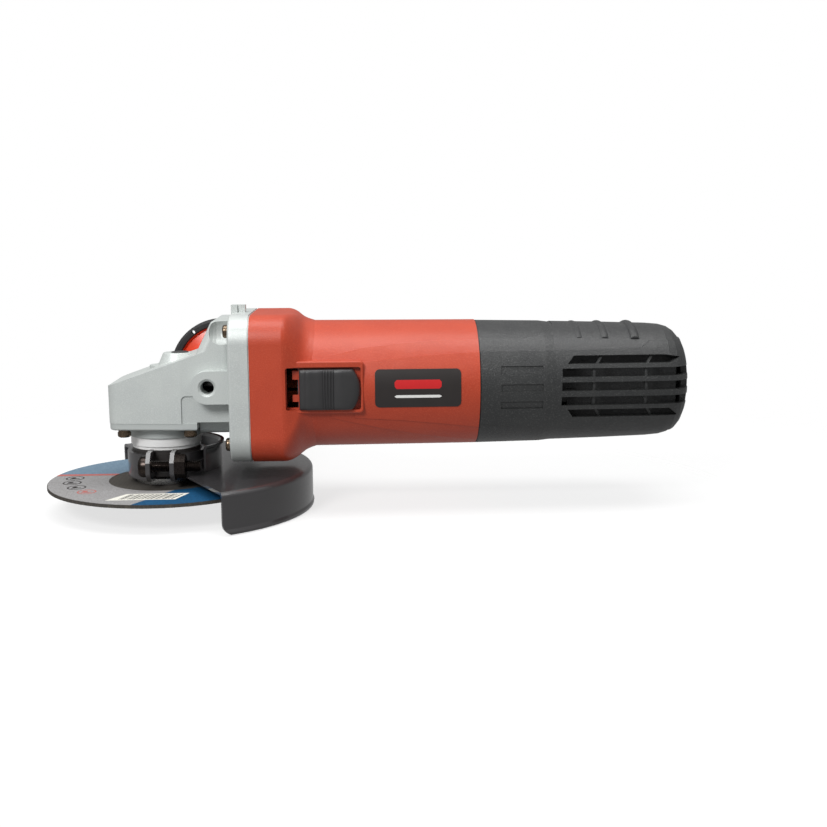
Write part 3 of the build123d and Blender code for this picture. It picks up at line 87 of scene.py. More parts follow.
class Shader:
    """A Principled material with short calls for the nodes that give it detail."""

    def __init__(self, name, rough=0.5, metal=0.0, coat=0.0, specular=0.5, sheen=0.0):
        self.material = bpy.data.materials.new(name)
        self.material.use_nodes = True
        self.tree = self.material.node_tree
        self.surface = self.tree.nodes["Principled BSDF"]
        self.surface.inputs["Roughness"].default_value = rough
        self.surface.inputs["Metallic"].default_value = metal
        self.surface.inputs["Coat Weight"].default_value = coat
        self.surface.inputs["Coat Roughness"].default_value = 0.1
        self.surface.inputs["Specular IOR Level"].default_value = specular
        self.surface.inputs["Sheen Weight"].default_value = sheen
        self.place = self.node("ShaderNodeTexCoord").outputs["Object"]

    def node(self, kind, **settings):
        made = self.tree.nodes.new(kind)
        for key, value in settings.items():
            setattr(made, key, value)
        return made

    def link(self, source, target):
        self.tree.links.new(source, target)

    def scaled(self, scale):
        """Object coordinates stretched by a factor along each axis."""
        mapping = self.node("ShaderNodeMapping")
        mapping.inputs["Scale"].default_value = scale
        self.link(self.place, mapping.inputs["Vector"])
        return mapping.outputs["Vector"]

    def noise(self, size_mm, detail=2.0, rough=0.5, stretch=None):
        """Noise whose features are about size_mm across."""
        made = self.node("ShaderNodeTexNoise")
        made.inputs["Scale"].default_value = 1.0 / (size_mm * MM)
        made.inputs["Detail"].default_value = detail
        made.inputs["Roughness"].default_value = rough
        self.link(self.scaled(stretch) if stretch else self.place, made.inputs["Vector"])
        return made.outputs["Fac"]

    def axis(self, index):
        split = self.node("ShaderNodeSeparateXYZ")
        self.link(self.place, split.inputs["Vector"])
        return split.outputs[index]

    def span(self, value, low, high, to_low=0.0, to_high=1.0):
        made = self.node("ShaderNodeMapRange")
        made.inputs["From Min"].default_value = low
        made.inputs["From Max"].default_value = high
        made.inputs["To Min"].default_value = to_low
        made.inputs["To Max"].default_value = to_high
        self.link(value, made.inputs["Value"])
        return made.outputs["Result"]

    def math(self, operation, first, second=0.0):
        made = self.node("ShaderNodeMath", operation=operation)
        for socket, value in zip(made.inputs, (first, second)):
            if isinstance(value, (int, float)):
                socket.default_value = value
            else:
                self.link(value, socket)
        return made.outputs["Value"]

    def mix(self, factor, first, second):
        made = self.node("ShaderNodeMix", data_type="RGBA")
        for socket, value in ((made.inputs[0], factor), (made.inputs[6], first), (made.inputs[7], second)):
            if isinstance(value, (int, float, tuple)):
                socket.default_value = value
            else:
                self.link(value, socket)
        return made.outputs[2]

    def colour(self, value):
        self.link(value, self.surface.inputs["Base Color"])

    def roughness(self, value):
        self.link(value, self.surface.inputs["Roughness"])

    def metallic(self, value):
        self.link(value, self.surface.inputs["Metallic"])

    def bump(self, height, depth_mm, strength=1.0):
        made = self.node("ShaderNodeBump")
        made.inputs["Strength"].default_value = strength
        made.inputs["Distance"].default_value = depth_mm * MM
        self.link(height, made.inputs["Height"])
        self.link(made.outputs["Normal"], self.surface.inputs["Normal"])


# ---------------------------------------------------------------- materials

def cast_paint():
    """Silver paint over a bead-blasted casting."""
    shader = Shader("cast_paint", rough=0.42, metal=0.25, specular=0.5)
    cloud = shader.span(shader.noise(14.0, 2.0), 0.35, 0.65)
    base = shader.mix(cloud, srgb(188, 193, 191), srgb(194, 199, 196))
    grain = shader.span(shader.noise(0.42, 2.0), 0.48, 0.72)
    shader.colour(shader.mix(grain, base, srgb(206, 210, 208)))
    shader.roughness(shader.span(shader.noise(0.5), 0.3, 0.7, 0.4, 0.5))
    shader.bump(shader.noise(0.55, 3.0, 0.6), 0.06)
    return shader.material


def neck_metal():
    """Turned collar, bright above the guard's band and painted dark below it as shade, with silver paint on the
    stage and plate above.
    """
    shader = Shader("neck_metal", rough=0.3)
    height = shader.axis(2)
    step = (STAGE_Z - 0.1 * MM, STAGE_Z + 0.1 * MM)
    rings = shader.noise(0.35, 2.0, 0.5, (0.02, 0.02, 1.0))
    bright = shader.mix(rings, srgb(253, 253, 252), srgb(244, 244, 243))
    # painted shade: below the band's top the neck is coloured dark, where it lies in shadow inside the guard's
    # collar
    shade_below_band = shader.mix(shader.span(height, BAND_Z - 0.3 * MM, BAND_Z), srgb(58, 55, 54), bright)
    shader.colour(shader.mix(shader.span(height, *step), shade_below_band, srgb(184, 189, 187)))
    shader.metallic(shader.span(height, *step, 0.2, 0.25))
    shader.roughness(shader.span(height, *step, 0.36, 0.46))
    shader.bump(rings, 0.02)
    return shader.material


def red_moulding():
    """Spark-eroded red moulding with a fine even texture."""
    shader = Shader("red_moulding", rough=0.42, specular=0.5)
    cloud = shader.span(shader.noise(14.0, 2.0), 0.35, 0.65)
    base = shader.mix(cloud, srgb(176, 61, 35), srgb(182, 65, 38))
    grain = shader.span(shader.noise(0.5, 2.0), 0.5, 0.7)
    shader.colour(shader.mix(grain, base, srgb(192, 78, 50)))
    shader.roughness(shader.span(shader.noise(0.6), 0.3, 0.7, 0.34, 0.46))
    shader.bump(shader.noise(0.6, 3.0, 0.65), 0.09)
    return shader.material


def dark_moulding():
    """Glass-filled dark moulding: coarse texture with pale specks."""
    shader = Shader("dark_moulding", rough=0.4, specular=0.5)
    base = shader.mix(shader.span(shader.noise(12.0), 0.3, 0.7), srgb(44, 45, 46), srgb(51, 52, 52))
    specks = shader.span(shader.noise(0.6, 2.0, 0.6), 0.55, 0.72)
    shader.colour(shader.mix(specks, base, srgb(82, 83, 82)))
    shader.roughness(shader.span(shader.noise(0.5), 0.3, 0.7, 0.32, 0.46))
    shader.bump(shader.noise(0.7, 4.0, 0.7), 0.16)
    return shader.material


def black_moulding(name="black_moulding", tone=38, rough=0.4):
    shader = Shader(name, rough=rough, specular=0.45)
    base = shader.mix(shader.noise(8.0), srgb(tone, tone, tone + 1), srgb(tone + 8, tone + 7, tone + 8))
    shader.colour(base)
    shader.roughness(shader.span(shader.noise(0.5), 0.3, 0.7, rough - 0.05, rough + 0.08))
    shader.bump(shader.noise(0.4, 2.0), 0.025)
    return shader.material


def guard_paint():
    """Satin black powder coat with orange-peel ripple and light rubs."""
    shader = Shader("guard_paint", rough=0.36, specular=0.5, coat=1.0)
    base = shader.mix(shader.noise(20.0), srgb(50, 49, 50), srgb(58, 56, 58))
    rubs = shader.span(shader.noise(3.0, 5.0, 0.7), 0.68, 0.8)
    shader.colour(shader.mix(rubs, base, srgb(66, 64, 65)))
    shader.roughness(shader.span(shader.noise(2.0, 3.0), 0.3, 0.7, 0.28, 0.34))
    shader.bump(shader.noise(2.4, 2.0), 0.012)
    return shader.material


def steel(name, light, dark, rough, grain=(1.0, 1.0, 1.0)):
    """Bright or plated steel with fine machining marks."""
    shader = Shader(name, rough=rough, metal=1.0)
    marks = shader.noise(0.4, 3.0, 0.6, grain)
    shader.colour(shader.mix(marks, dark, light))
    shader.roughness(shader.span(marks, 0.3, 0.7, rough - 0.06, rough + 0.1))
    shader.bump(marks, 0.015)
    return shader.material


def abrasive_disc():
    """Resin-bonded grit, with the woven glass mesh showing as a faint grid."""
    shader = Shader("abrasive_disc", rough=0.78, specular=0.3)
    weave = shader.math("MULTIPLY", grid_line(shader, 0), grid_line(shader, 1))
    grit = shader.noise(0.5, 3.0, 0.7)
    base = shader.mix(grit, srgb(30, 29, 29), srgb(66, 65, 64))
    shader.colour(shader.mix(shader.math("MULTIPLY", weave, 0.55), srgb(80, 75, 68), base))
    shader.bump(shader.math("ADD", grit, weave), 0.12)
    return shader.material


def grid_line(shader, axis):
    """0 on a 2.2 mm grid's lines and 1 between them."""
    wave = shader.math("SINE", shader.math("MULTIPLY", shader.axis(axis), math.pi / (2.2 * MM)))
    return shader.span(shader.math("ABSOLUTE", wave), 0.0, 0.35)


def print_ink(name, colour, darker):
    """Label ink on gritty paper, worn through in places."""
    shader = Shader(name, rough=0.7, specular=0.3)
    wear = shader.span(shader.noise(0.55, 3.0, 0.7), 0.35, 0.7)
    shader.colour(shader.mix(wear, darker, colour))
    shader.bump(shader.noise(0.5, 3.0, 0.7), 0.07)
    return shader.material


def soft_rubber():
    shader = Shader("soft_rubber", rough=0.62, specular=0.35, sheen=0.08)
    shader.colour(shader.mix(shader.noise(6.0), srgb(30, 30, 31), srgb(41, 40, 41)))
    shader.bump(shader.noise(0.5, 3.0, 0.6), 0.06)
    return shader.material


def orange_moulding():
    shader = Shader("orange_moulding", rough=0.25, specular=0.5)
    shader.colour(shader.mix(shader.noise(5.0), srgb(226, 58, 24), srgb(238, 74, 32)))
    shader.bump(shader.noise(1.2), 0.02)
    return shader.material


def copper_wire():
    """Lacquered winding wire laid side by side."""
    shader = Shader("copper_wire", rough=0.3, metal=0.9)
    strands = shader.node("ShaderNodeTexWave", wave_type="BANDS", bands_direction="DIAGONAL")
    strands.inputs["Scale"].default_value = 700.0
    strands.inputs["Distortion"].default_value = 1.5
    shader.link(shader.place, strands.inputs["Vector"])
    shader.colour(shader.mix(strands.outputs["Fac"], srgb(70, 28, 16), srgb(150, 78, 42)))
    shader.bump(strands.outputs["Fac"], 0.25)
    return shader.material


def laminations():
    """Stacked steel sheets seen from the side."""
    shader = Shader("laminations", rough=0.45, metal=0.9)
    sheets = shader.noise(0.5, 1.0, 0.5, (1.0, 0.02, 0.02))
    shader.colour(shader.mix(sheets, srgb(88, 88, 92), srgb(150, 150, 154)))
    shader.bump(sheets, 0.08)
    return shader.material


def label_film():
    shader = Shader("label_film", rough=0.32, specular=0.5)
    shader.colour(shader.mix(shader.noise(7.0), srgb(40, 36, 35), srgb(47, 42, 41)))
    shader.bump(shader.noise(0.8), 0.01)
    return shader.material


def plain_print(name, colour):
    shader = Shader(name, rough=0.38)
    shade = tuple(0.86 * value for value in colour[:3]) + (1.0,)
    shader.colour(shader.mix(shader.noise(1.5, 3.0), shade, colour))
    return shader.material


MATERIALS = {
    "cast": cast_paint(),
    "neck": neck_metal(),
    "red": red_moulding(),
    "dark": dark_moulding(),
    "black": black_moulding(),
    "knob": black_moulding("knob_moulding", 44, 0.42),
    "white": black_moulding("pale_moulding", 190, 0.45),
    "guard": guard_paint(),
    "steel": steel("ground_steel", srgb(214, 214, 212), srgb(164, 164, 164), 0.26),
    "blackened": steel("blackened_steel", srgb(72, 64, 60), srgb(26, 23, 23), 0.26),
    "nickel": steel("dark_nickel", srgb(150, 132, 112), srgb(64, 52, 42), 0.24),
    "brass": steel("pressed_brass", srgb(214, 180, 104), srgb(160, 126, 62), 0.32),
    "disc": abrasive_disc(),
    "ink_grey": print_ink("ink_grey", srgb(160, 160, 161), srgb(122, 119, 118)),
    "ink_blue": print_ink("ink_blue", srgb(8, 88, 132), srgb(4, 50, 82)),
    # blue ink printed lighter as a painted sheen, where the label's far side catches glancing light
    "ink_blue_sheen": print_ink("ink_blue_sheen", srgb(126, 148, 164), srgb(84, 108, 128)),
    "ink_red": print_ink("ink_red", srgb(196, 112, 104), srgb(150, 84, 80)),
    "ink_white": print_ink("ink_white", srgb(236, 234, 224), srgb(205, 203, 194)),
    "ink_black": print_ink("ink_black", srgb(58, 54, 52), srgb(36, 34, 34)),
    "rubber": soft_rubber(),
    "orange": orange_moulding(),
    "copper": copper_wire(),
    "laminations": laminations(),
    "label": label_film(),
    "badge_red": plain_print("badge_red", srgb(206, 30, 34)),
    "badge_white": plain_print("badge_white", srgb(240, 240, 238)),
}

SLOT_MATERIALS = {
    "cast_aluminium": "cast",
    "machined_aluminium": "neck",
    "red_plastic": "red",
    "dark_plastic": "dark",
    "black_plastic": "black",
    "white_plastic": "white",
    "black_paint": "guard",
    "blackened_steel": "blackened",
    "steel": "steel",
    "nickel_steel": "nickel",
    "electrical_steel": "laminations",
    "copper": "copper",
    "brass": "brass",
    "carbon": "black",
    "abrasive": "disc",
    "printed_paper": "ink_grey",
    "label": "label",
    "black_rubber": "rubber",
    "orange_plastic": "orange",
}


def dress_cad_nodes():
    """Every CAD node gets the detailed material of its slot."""
    for entry in frame["record"]["subparts"]:
        node = NODES[entry["node"]]
        node.data.materials.clear()
        node.data.materials.append(MATERIALS[SLOT_MATERIALS[entry["material_slot"]]])


# ---------------------------------------------------------------- mesh helpers

def new_piece(name, mesh, material, body, smooth_angle=35.0):
    piece = bpy.data.objects.new(name, mesh)
    bpy.context.scene.collection.objects.link(piece)
    mesh.materials.append(MATERIALS[material])
    mesh.shade_smooth()
    mesh.set_sharp_from_angle(angle=math.radians(smooth_angle))
    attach(piece, body)
    return piece


def mesh_from(vertices, faces, name):
    mesh = bpy.data.meshes.new(name)
    mesh.from_pydata([tuple(v) for v in vertices], [], faces)
    mesh.validate()
    tidy = bmesh.new()
    tidy.from_mesh(mesh)
    bmesh.ops.remove_doubles(tidy, verts=tidy.verts, dist=1e-7)
    bmesh.ops.recalc_face_normals(tidy, faces=tidy.faces)
    tidy.to_mesh(mesh)
    tidy.free()
    return mesh


def lathe(name, outline, origin=(0, 0, 0), axis=(0, 0, 1), steps=96, thread=None):
    """Closed solid of (radius, height) points in mm about an axis through origin.

    thread is (low, high, pitch, depth): between those heights the radius follows
    a helical V groove.
    """
    direction = Vector(axis).normalized()
    side = direction.orthogonal().normalized()
    across = direction.cross(side)
    rows = []
    for (radius, height), (next_radius, next_height) in zip(outline, outline[1:]):
        rows.append((radius, height))
        if thread and radius == next_radius and height >= thread[0] and next_height <= thread[1]:
            count = int((next_height - height) / thread[2] * 6)
            rows += [(radius, height + (next_height - height) * i / count) for i in range(1, count)]
    rows.append(outline[-1])
    vertices = []
    for radius, height in rows:
        for step in range(steps):
            angle = 2 * math.pi * step / steps
            cut = radius
            if thread and thread[0] < height < thread[1]:
                phase = (height / thread[2] - step / steps) % 1.0
                cut = radius - thread[3] * abs(2 * phase - 1)
            spot = side * math.cos(angle) * cut + across * math.sin(angle) * cut + direction * height
            vertices.append((Vector(origin) + spot) * MM)
    return mesh_from(vertices, ring_faces(len(rows), steps), name)


def ring_faces(rings, sides):
    """Faces of a tube of equal rings of points, closed at both ends."""
    last = (rings - 1) * sides
    faces = [tuple(range(sides)), tuple(range(last, last + sides))]
    for ring in range(rings - 1):
        low, high = ring * sides, (ring + 1) * sides
        for side in range(sides):
            after = (side + 1) % sides
            faces.append((low + side, low + after, high + after, high + side))
    return faces


def sheet_mesh(name, outline, height, thickness):
    """Flat printed shape: an (x, y) outline in mm given a small thickness above height."""
    count = len(outline)
    vertices = [Vector((x, y, height)) * MM for x, y in outline]
    vertices += [Vector((x, y, height + thickness)) * MM for x, y in outline]
    faces = [tuple(range(count)), tuple(range(count, 2 * count))]
    faces += [(i, (i + 1) % count, count + (i + 1) % count, count + i) for i in range(count)]
    return mesh_from(vertices, faces, name)


def arc(radius, start, end, steps=48):
    """(x, y) points on a circle about the spindle, angles in degrees."""
    angles = [math.radians(start + (end - start) * i / steps) for i in range(steps + 1)]
    return [(radius * math.cos(a), radius * math.sin(a)) for a in angles]


def circle_points(centre, radius, steps):
    angles = [2 * math.pi * i / steps for i in range(steps)]
    return [(centre[0] + radius * math.cos(a), centre[1] + radius * math.sin(a)) for a in angles]


# ---------------------------------------------------------------- pieces

LABEL_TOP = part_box("disc_label")[1].z / MM
LABEL_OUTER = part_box("cutting_disc")[1].x / MM - 0.3
LABEL_INNER = 31.0
INK_THICKNESS = 0.03
INK_CLEARANCE = 0.01


def ink_height(layer):
    """Height in mm of the underside of a printed layer, counted from 1 upwards."""
    return LABEL_TOP + INK_CLEARANCE + INK_THICKNESS * (layer - 1)


def printed(name, outline, material, layer=1):
    mesh = sheet_mesh(name, outline, ink_height(layer), INK_THICKNESS)
    return new_piece(name, mesh, material, "spindle", 60)


def thicken(mesh, thickness_mm):
    """Turns an open sheet into a thin closed solid."""
    solid = bmesh.new()
    solid.from_mesh(mesh)
    bmesh.ops.solidify(solid, geom=solid.faces, thickness=thickness_mm * MM)
    solid.to_mesh(mesh)
    solid.free()


def disc_print():
    """Printed areas of the disc's label: blue fields, a red band, pictograms and a bar code; the far blue field is
    printed lighter as a painted sheen.
    """
    outer = LABEL_OUTER
    inner = LABEL_INNER
    printed("label_ground_near", arc(outer, 180, 360) + arc(inner, 360, 180), "ink_grey")
    printed("label_ground_far", arc(outer, 0, 180) + arc(inner, 180, 0), "ink_grey")
    printed("label_blue_front", arc(outer, -98, 60) + arc(inner, 60, -75), "ink_blue", 2)
    printed("label_blue_side", arc(outer, 60, 95) + arc(inner, 95, 60), "ink_blue", 2)
    # far blue field: real blue print, lightened as a painted sheen from glancing light
    printed("label_blue_back", arc(outer, 95, 169) + arc(inner, 160, 95), "ink_blue_sheen", 2)
    band_low = 8.6
    band_high = 12.6
    left_low = -math.sqrt(outer ** 2 - band_low ** 2)
    left_high = -math.sqrt(outer ** 2 - band_high ** 2)
    right_low = -math.sqrt(inner ** 2 - band_low ** 2)
    right_high = -math.sqrt(inner ** 2 - band_high ** 2)
    band = [(left_low, band_low), (right_low, band_low), (right_high, band_high), (left_high, band_high)]
    printed("label_band", band, "ink_red", 3)
    marks = [(-50.0, 2.2), (-49.0, -9.0), (-44.0, -20.5)]
    for index, centre in enumerate(marks):
        pictogram(f"label_mark_{index}", centre, "ink_black")
    pictogram("label_mark_red", (-36.5, -31.0), "ink_red")
    bar_code()


def pictogram(name, centre, material):
    """Round safety mark: a ring with a plain dot and bar inside."""
    layer = 3
    sides = 32
    outer = circle_points(centre, 4.9, sides)
    inner = circle_points(centre, 4.1, sides)
    vertices = [Vector((x, y, ink_height(layer))) * MM for x, y in outer + inner]
    faces = [(i, (i + 1) % sides, sides + (i + 1) % sides, sides + i) for i in range(sides)]
    mesh = mesh_from(vertices, faces, name)
    thicken(mesh, INK_THICKNESS)
    new_piece(name, mesh, material, "spindle", 60)
    x, y = centre
    printed(name + "_dot", circle_points((x - 1.0, y + 0.9), 1.4, 16), material, layer)
    bar = [(x - 2.4, y - 2.3), (x + 2.6, y - 1.5), (x + 2.3, y - 0.3), (x - 2.6, y - 1.1)]
    printed(name + "_bar", bar, material, layer)


def bar_code():
    """Slanted white field with plain bars of mixed width."""
    low_left, low_right = (-23.0, -51.5), (11.5, -51.0)
    high_right, high_left = (16.5, -37.5), (-15.0, -38.0)
    printed("label_code_field", [low_left, low_right, high_right, high_left], "ink_white", 3)
    widths = [0.5, 0.9, 0.35, 0.7, 0.4, 1.0, 0.5, 0.35, 0.8, 0.45]
    foot, head = -49.6, -39.4
    lean = 4.2
    x = -17.0
    last_x = 9.5
    index = 0
    while x < last_x:
        width = widths[index % len(widths)]
        bar = [(x, foot), (x + width, foot), (x + width + lean, head), (x + lean, head)]
        printed(f"label_code_bar_{index}", bar, "ink_black", 4)
        x += width + 0.55 + 0.3 * ((index * 7) % 3)
        index += 1


AXIS = 0.001    # radius of an outline's points on its axis


def turned_spindle():
    """Spindle with its M14 thread and chamfered end."""
    outline = [(AXIS, 0), (6.2, 0), (7.0, 0.9), (7.0, 5.2), (6.35, 5.2), (6.35, 16.6), (9.0, 16.6),
               (9.0, 31.7), (6.0, 31.7), (6.0, 46.0),
               (5.0, 46.0), (5.0, 59.0), (3.0, 61.0), (3.0, 70.5), (2.5, 71.0), (AXIS, 71.0)]
    mesh = lathe("spindle_threaded", outline, thread=(0.8, 5.2, 2.0, 0.6), steps=72)
    piece = new_piece("spindle_threaded", mesh, "steel", "spindle")
    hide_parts("spindle")


def lock_coil():
    """Return spring under the lock button."""
    low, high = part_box("lock_spring")
    middle = (low + high) / 2
    wire = 0.3 * MM
    radius = (high.x - low.x) / 2 - wire
    turns = 4
    per_turn = 32
    sides = 10
    count = turns * per_turn
    vertices = []
    for i in range(count + 1):
        angle = 2 * math.pi * i / per_turn
        outward = Vector((math.cos(angle), math.sin(angle), 0))
        climb = (high.z - low.z - 2 * wire) * i / count
        spot = Vector((middle.x, middle.y, low.z + wire + climb)) + radius * outward
        for j in range(sides):
            turn = 2 * math.pi * j / sides
            vertices.append(spot + wire * (outward * math.cos(turn) + Vector((0, 0, math.sin(turn)))))
    mesh = mesh_from(vertices, ring_faces(count + 1, sides), "lock_spring_coil")
    piece = new_piece("lock_spring_coil", mesh, "steel", "lock", 60)
    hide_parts("lock_spring")
    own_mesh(piece)


def threaded_bolt():
    """Clamp bolt: domed head, and a visible thread to its end."""
    low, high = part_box("clamp_bolt")
    middle = (low + high) / 2
    centre = (0, middle.y / MM, middle.z / MM)
    head = low.x / MM
    tip = high.x / MM
    outline = [(AXIS, head), (2.4, head), (4.3, head + 0.5), (5.3, head + 1.5), (5.6, head + 2.6),
               (5.6, head + 4.6), (3.0, head + 4.6), (3.0, head + 7.0), (3.0, tip - 0.9), (2.4, tip),
               (AXIS, tip)]
    mesh = lathe("clamp_bolt_threaded", outline, centre, (1, 0, 0), 40, (head + 7.0, tip - 0.9, 1.0, 0.45))
    piece = new_piece("clamp_bolt_threaded", mesh, "blackened", "guard")
    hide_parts("clamp_bolt")


def knob_crest():
    """(distance from the front end, depth below the face) along the knob, in mm, with its ribs."""
    crest = [(0.0, 1.9), (0.35, 1.25), (1.1, 0.85), (2.7, 0.75), (3.5, 0.2), (4.3, 0.0)]
    crest += [(6.0, 0.18), (9.0, 0.22), (11.2, 0.08)]
    ribs = 4
    rib_pitch = 1.45
    groove = 0.42
    start = 12.0
    for _ in range(ribs):
        crest += [(start, groove), (start + 0.3, 0.0), (start + 0.8, 0.0), (start + 1.1, groove)]
        start += rib_pitch
    return crest + [(start + 0.2, 0.1), (start + 4.0, 0.0)]


def ribbed_knob():
    """Slide knob with bevelled edges, a few fine cross ribs and a bowed rear end."""
    low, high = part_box("switch_knob")
    x0, x1 = low.x / MM, high.x / MM
    z0, z1 = low.z / MM, high.z / MM
    face = low.y / MM
    base = -31.9    # y of the knob's underside, in its pocket
    middle = (z0 + z1) / 2
    bow = 16.0      # radius of the rear end in side view
    levels = [(z0, 0.95), (z0 + 0.3, 0.45), (z0 + 0.8, 0.12), (z0 + 1.5, 0.0)]
    levels += [(middle + offset, 0.0) for offset in (-7.0, -5.0, -2.5, 0.0, 2.5, 5.0, 7.0)]
    levels += [(z1 - 1.5, 0.0), (z1 - 0.8, 0.12), (z1 - 0.3, 0.45), (z1, 0.95)]
    vertices = []
    for z, sink in levels:
        end = x1 - bow + math.sqrt(bow ** 2 - (z - middle) ** 2)
        tail = [(end - 3.4, 0.08), (end - 1.9, 0.4), (end - 0.9, 0.95), (end - 0.2, 1.8), (end, 2.6)]
        ring = [(x0 + along, face + depth + sink) for along, depth in knob_crest()]
        ring += [(x, face + depth + sink) for x, depth in tail]
        ring += [(end, base), (x0, base)]
        vertices += [Vector((x, y, z)) * MM for x, y in ring]
    mesh = mesh_from(vertices, ring_faces(len(levels), len(ring)), "switch_knob_ribbed")
    piece = new_piece("switch_knob_ribbed", mesh, "knob", "slide_switch", 30)
    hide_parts("switch_knob")


PLATE_LOW, PLATE_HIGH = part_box("rating_label")
BARREL_TAPER = 0.0042      # radius lost for each mm towards the rear
STRIPE_LIFT = 0.05
STRIPE_THICKNESS = 0.06


def on_barrel(x, z, lift):
    """Point a little above the rating plate on the motor barrel at a height z, in mm."""
    radius = -PLATE_LOW.y / MM - (x - PLATE_LOW.x / MM) * BARREL_TAPER + lift
    offset = z - MOTOR_Z / MM
    return Vector((x, -math.sqrt(radius ** 2 - offset ** 2), z)) * MM


def label_shape(name, low_corner, high_corner, material):
    """Thin rounded rectangle bent to the barrel, between two (x, z) corners in mm."""
    left, bottom = low_corner
    right, top = high_corner
    steps = 24
    rows = 10
    corner = min(1.2, (top - bottom) * 0.4)
    vertices = []
    for i in range(steps + 1):
        x = left + (right - left) * i / steps
        edge = min(x - left, right - x)
        trim = corner - math.sqrt(max(corner ** 2 - (corner - edge) ** 2, 0)) if edge < corner else 0.0
        for j in range(rows + 1):
            z = bottom + trim + (top - bottom - 2 * trim) * j / rows
            vertices.append(on_barrel(x, z, STRIPE_LIFT))
    faces = []
    for i in range(steps):
        for j in range(rows):
            a = i * (rows + 1) + j
            faces.append((a, a + 1, a + rows + 2, a + rows + 1))
    mesh = mesh_from(vertices, faces, name)
    thicken(mesh, STRIPE_THICKNESS)
    return new_piece(name, mesh, material, "housing", 60)


def plate_stripes():
    """Plain decoration on the rating plate: a red stripe, and a thin pale one below it."""
    middle = (PLATE_LOW.x + PLATE_HIGH.x) / 2 / MM
    top = PLATE_HIGH.z / MM
    left = middle - 12.0
    right = middle + 12.0
    label_shape("plate_stripe_red", (left, top - 10.0), (right, top - 5.4), "badge_red")
    label_shape("plate_stripe_pale", (left, top - 14.6), (right, top - 13.2), "badge_white")


# ---------------------------------------------------------------- studio

def camera():
    """Camera of the product view: a normal lens, slightly above, looking at the near side."""
    place = Vector((100.5, -611.0, 144.24)) * MM
    yaw, tilt, roll = 0.0527, 0.1587, -0.005
    forward = Vector((math.sin(yaw) * math.cos(tilt), math.cos(yaw) * math.cos(tilt), -math.sin(tilt)))
    right = forward.cross(Vector((0, 0, 1))).normalized()
    up = right.cross(forward)
    rolled_right = right * math.cos(roll) + up * math.sin(roll)
    rolled_up = up * math.cos(roll) - right * math.sin(roll)
    data = bpy.data.cameras.new("camera")
    data.lens = 49.84
    data.sensor_width = 36.0
    data.clip_start = 0.01
    made = bpy.data.objects.new("camera", data)
    bpy.context.scene.collection.objects.link(made)
    turn = Matrix((rolled_right, rolled_up, -forward)).transposed().to_4x4()
    made.matrix_world = Matrix.Translation(place) @ turn
    bpy.context.scene.camera = made


def area_light(name, place, target, size, power):
    data = bpy.data.lights.new(name, "AREA")
    data.shape = "RECTANGLE"
    data.size, data.size_y = size
    data.energy = power
    made = bpy.data.objects.new(name, data)
    bpy.context.scene.collection.objects.link(made)
    made.location = place
    made.rotation_mode = "QUATERNION"
    made.rotation_quaternion = (Vector(target) - Vector(place)).to_track_quat("-Z", "Y")


# (height of the direction, brightness) of the air round the object, from straight down to straight up
SKY_STEPS = [(-1.0, 0.42), (-0.3, 0.36), (0.0, 0.27), (0.2, 0.27), (0.6, 0.48), (1.0, 0.8)]


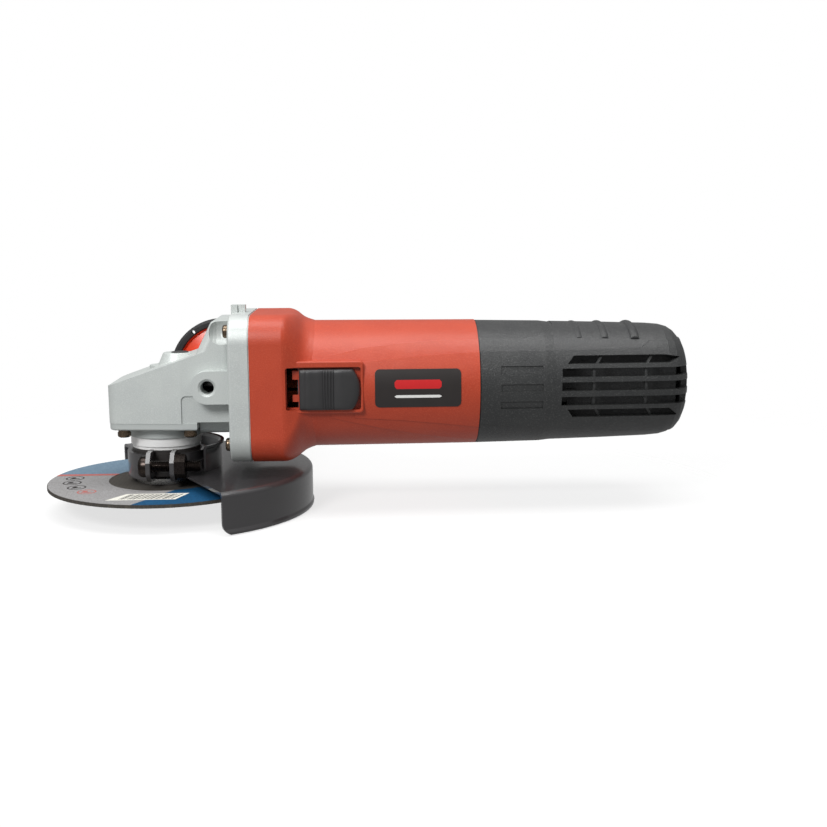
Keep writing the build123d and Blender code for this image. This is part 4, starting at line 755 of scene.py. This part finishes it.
def surroundings():
    """Studio air: white behind the object, dim at the sides and bright overhead for its light."""
    world = bpy.data.worlds.new("studio")
    world.use_nodes = True
    tree = world.node_tree
    background = tree.nodes["Background"]
    direction = tree.nodes.new("ShaderNodeTexCoord")
    split = tree.nodes.new("ShaderNodeSeparateXYZ")
    tree.links.new(direction.outputs["Generated"], split.inputs["Vector"])
    half = tree.nodes.new("ShaderNodeMath")
    half.operation = "MULTIPLY_ADD"
    half.inputs[1].default_value = 0.5
    half.inputs[2].default_value = 0.5
    tree.links.new(split.outputs["Z"], half.inputs[0])
    ramp = tree.nodes.new("ShaderNodeValToRGB")
    tree.links.new(half.outputs["Value"], ramp.inputs["Fac"])
    stops = ramp.color_ramp.elements
    while len(stops) < len(SKY_STEPS):
        stops.new(0.5)
    for stop, (height, level) in zip(stops, SKY_STEPS):
        stop.position = (height + 1.0) / 2
        stop.color = (level, level, level, 1.0)
    path = tree.nodes.new("ShaderNodeLightPath")
    choose = tree.nodes.new("ShaderNodeMix")
    choose.data_type = "FLOAT"
    tree.links.new(path.outputs["Is Camera Ray"], choose.inputs[0])
    tree.links.new(ramp.outputs["Color"], choose.inputs[2])
    choose.inputs[3].default_value = 1.0
    tree.links.new(choose.outputs[0], background.inputs["Strength"])
    background.inputs["Color"].default_value = (1.0, 1.0, 1.0, 1.0)
    bpy.context.scene.world = world


def floor_paint():
    """Mostly clear matt white paint, so that shadows stay light; it is fully clear away from the object."""
    shader = Shader("floor_paint", rough=0.8, specular=0.2)
    shader.colour(shader.mix(shader.noise(60.0), srgb(250, 250, 250), srgb(254, 254, 254)))
    sum_of_squares = shader.math("ADD", square(shader, shader.axis(0)), square(shader, shader.axis(1)))
    reach = shader.math("SQRT", sum_of_squares)
    clear = shader.node("ShaderNodeBsdfTransparent").outputs["BSDF"]
    blend = shader.node("ShaderNodeMixShader")
    shader.link(shader.span(reach, 0.2, 0.42, 0.72, 1.0), blend.inputs["Fac"])
    shader.link(shader.surface.outputs["BSDF"], blend.inputs[1])
    shader.link(clear, blend.inputs[2])
    shader.link(blend.outputs["Shader"], shader.tree.nodes["Material Output"].inputs["Surface"])
    return shader.material


def square(shader, value):
    return shader.math("MULTIPLY", value, value)


def studio():
    """Pale floor, white surroundings and broad soft lights."""
    low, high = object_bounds()
    bpy.ops.mesh.primitive_plane_add(size=6.0, location=(0.1, 0.0, low.z - 0.0004))
    floor = bpy.context.active_object
    floor.name = "floor"
    floor.visible_diffuse = False
    floor.visible_glossy = False
    floor.data.materials.append(floor_paint())
    floor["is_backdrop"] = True
    surroundings()
    centre = (0.1, 0.0, 0.05)
    area_light("top_softbox", (0.1, -0.1, 0.9), centre, (1.1, 0.35), 5.6)
    area_light("key_light", (-0.3, -0.75, 0.6), centre, (0.3, 0.3), 6.4)
    bpy.context.scene.view_settings.view_transform = "Standard"


dress_cad_nodes()
disc_print()
turned_spindle()
lock_coil()
threaded_bolt()
ribbed_knob()
plate_stripes()
camera()
studio()
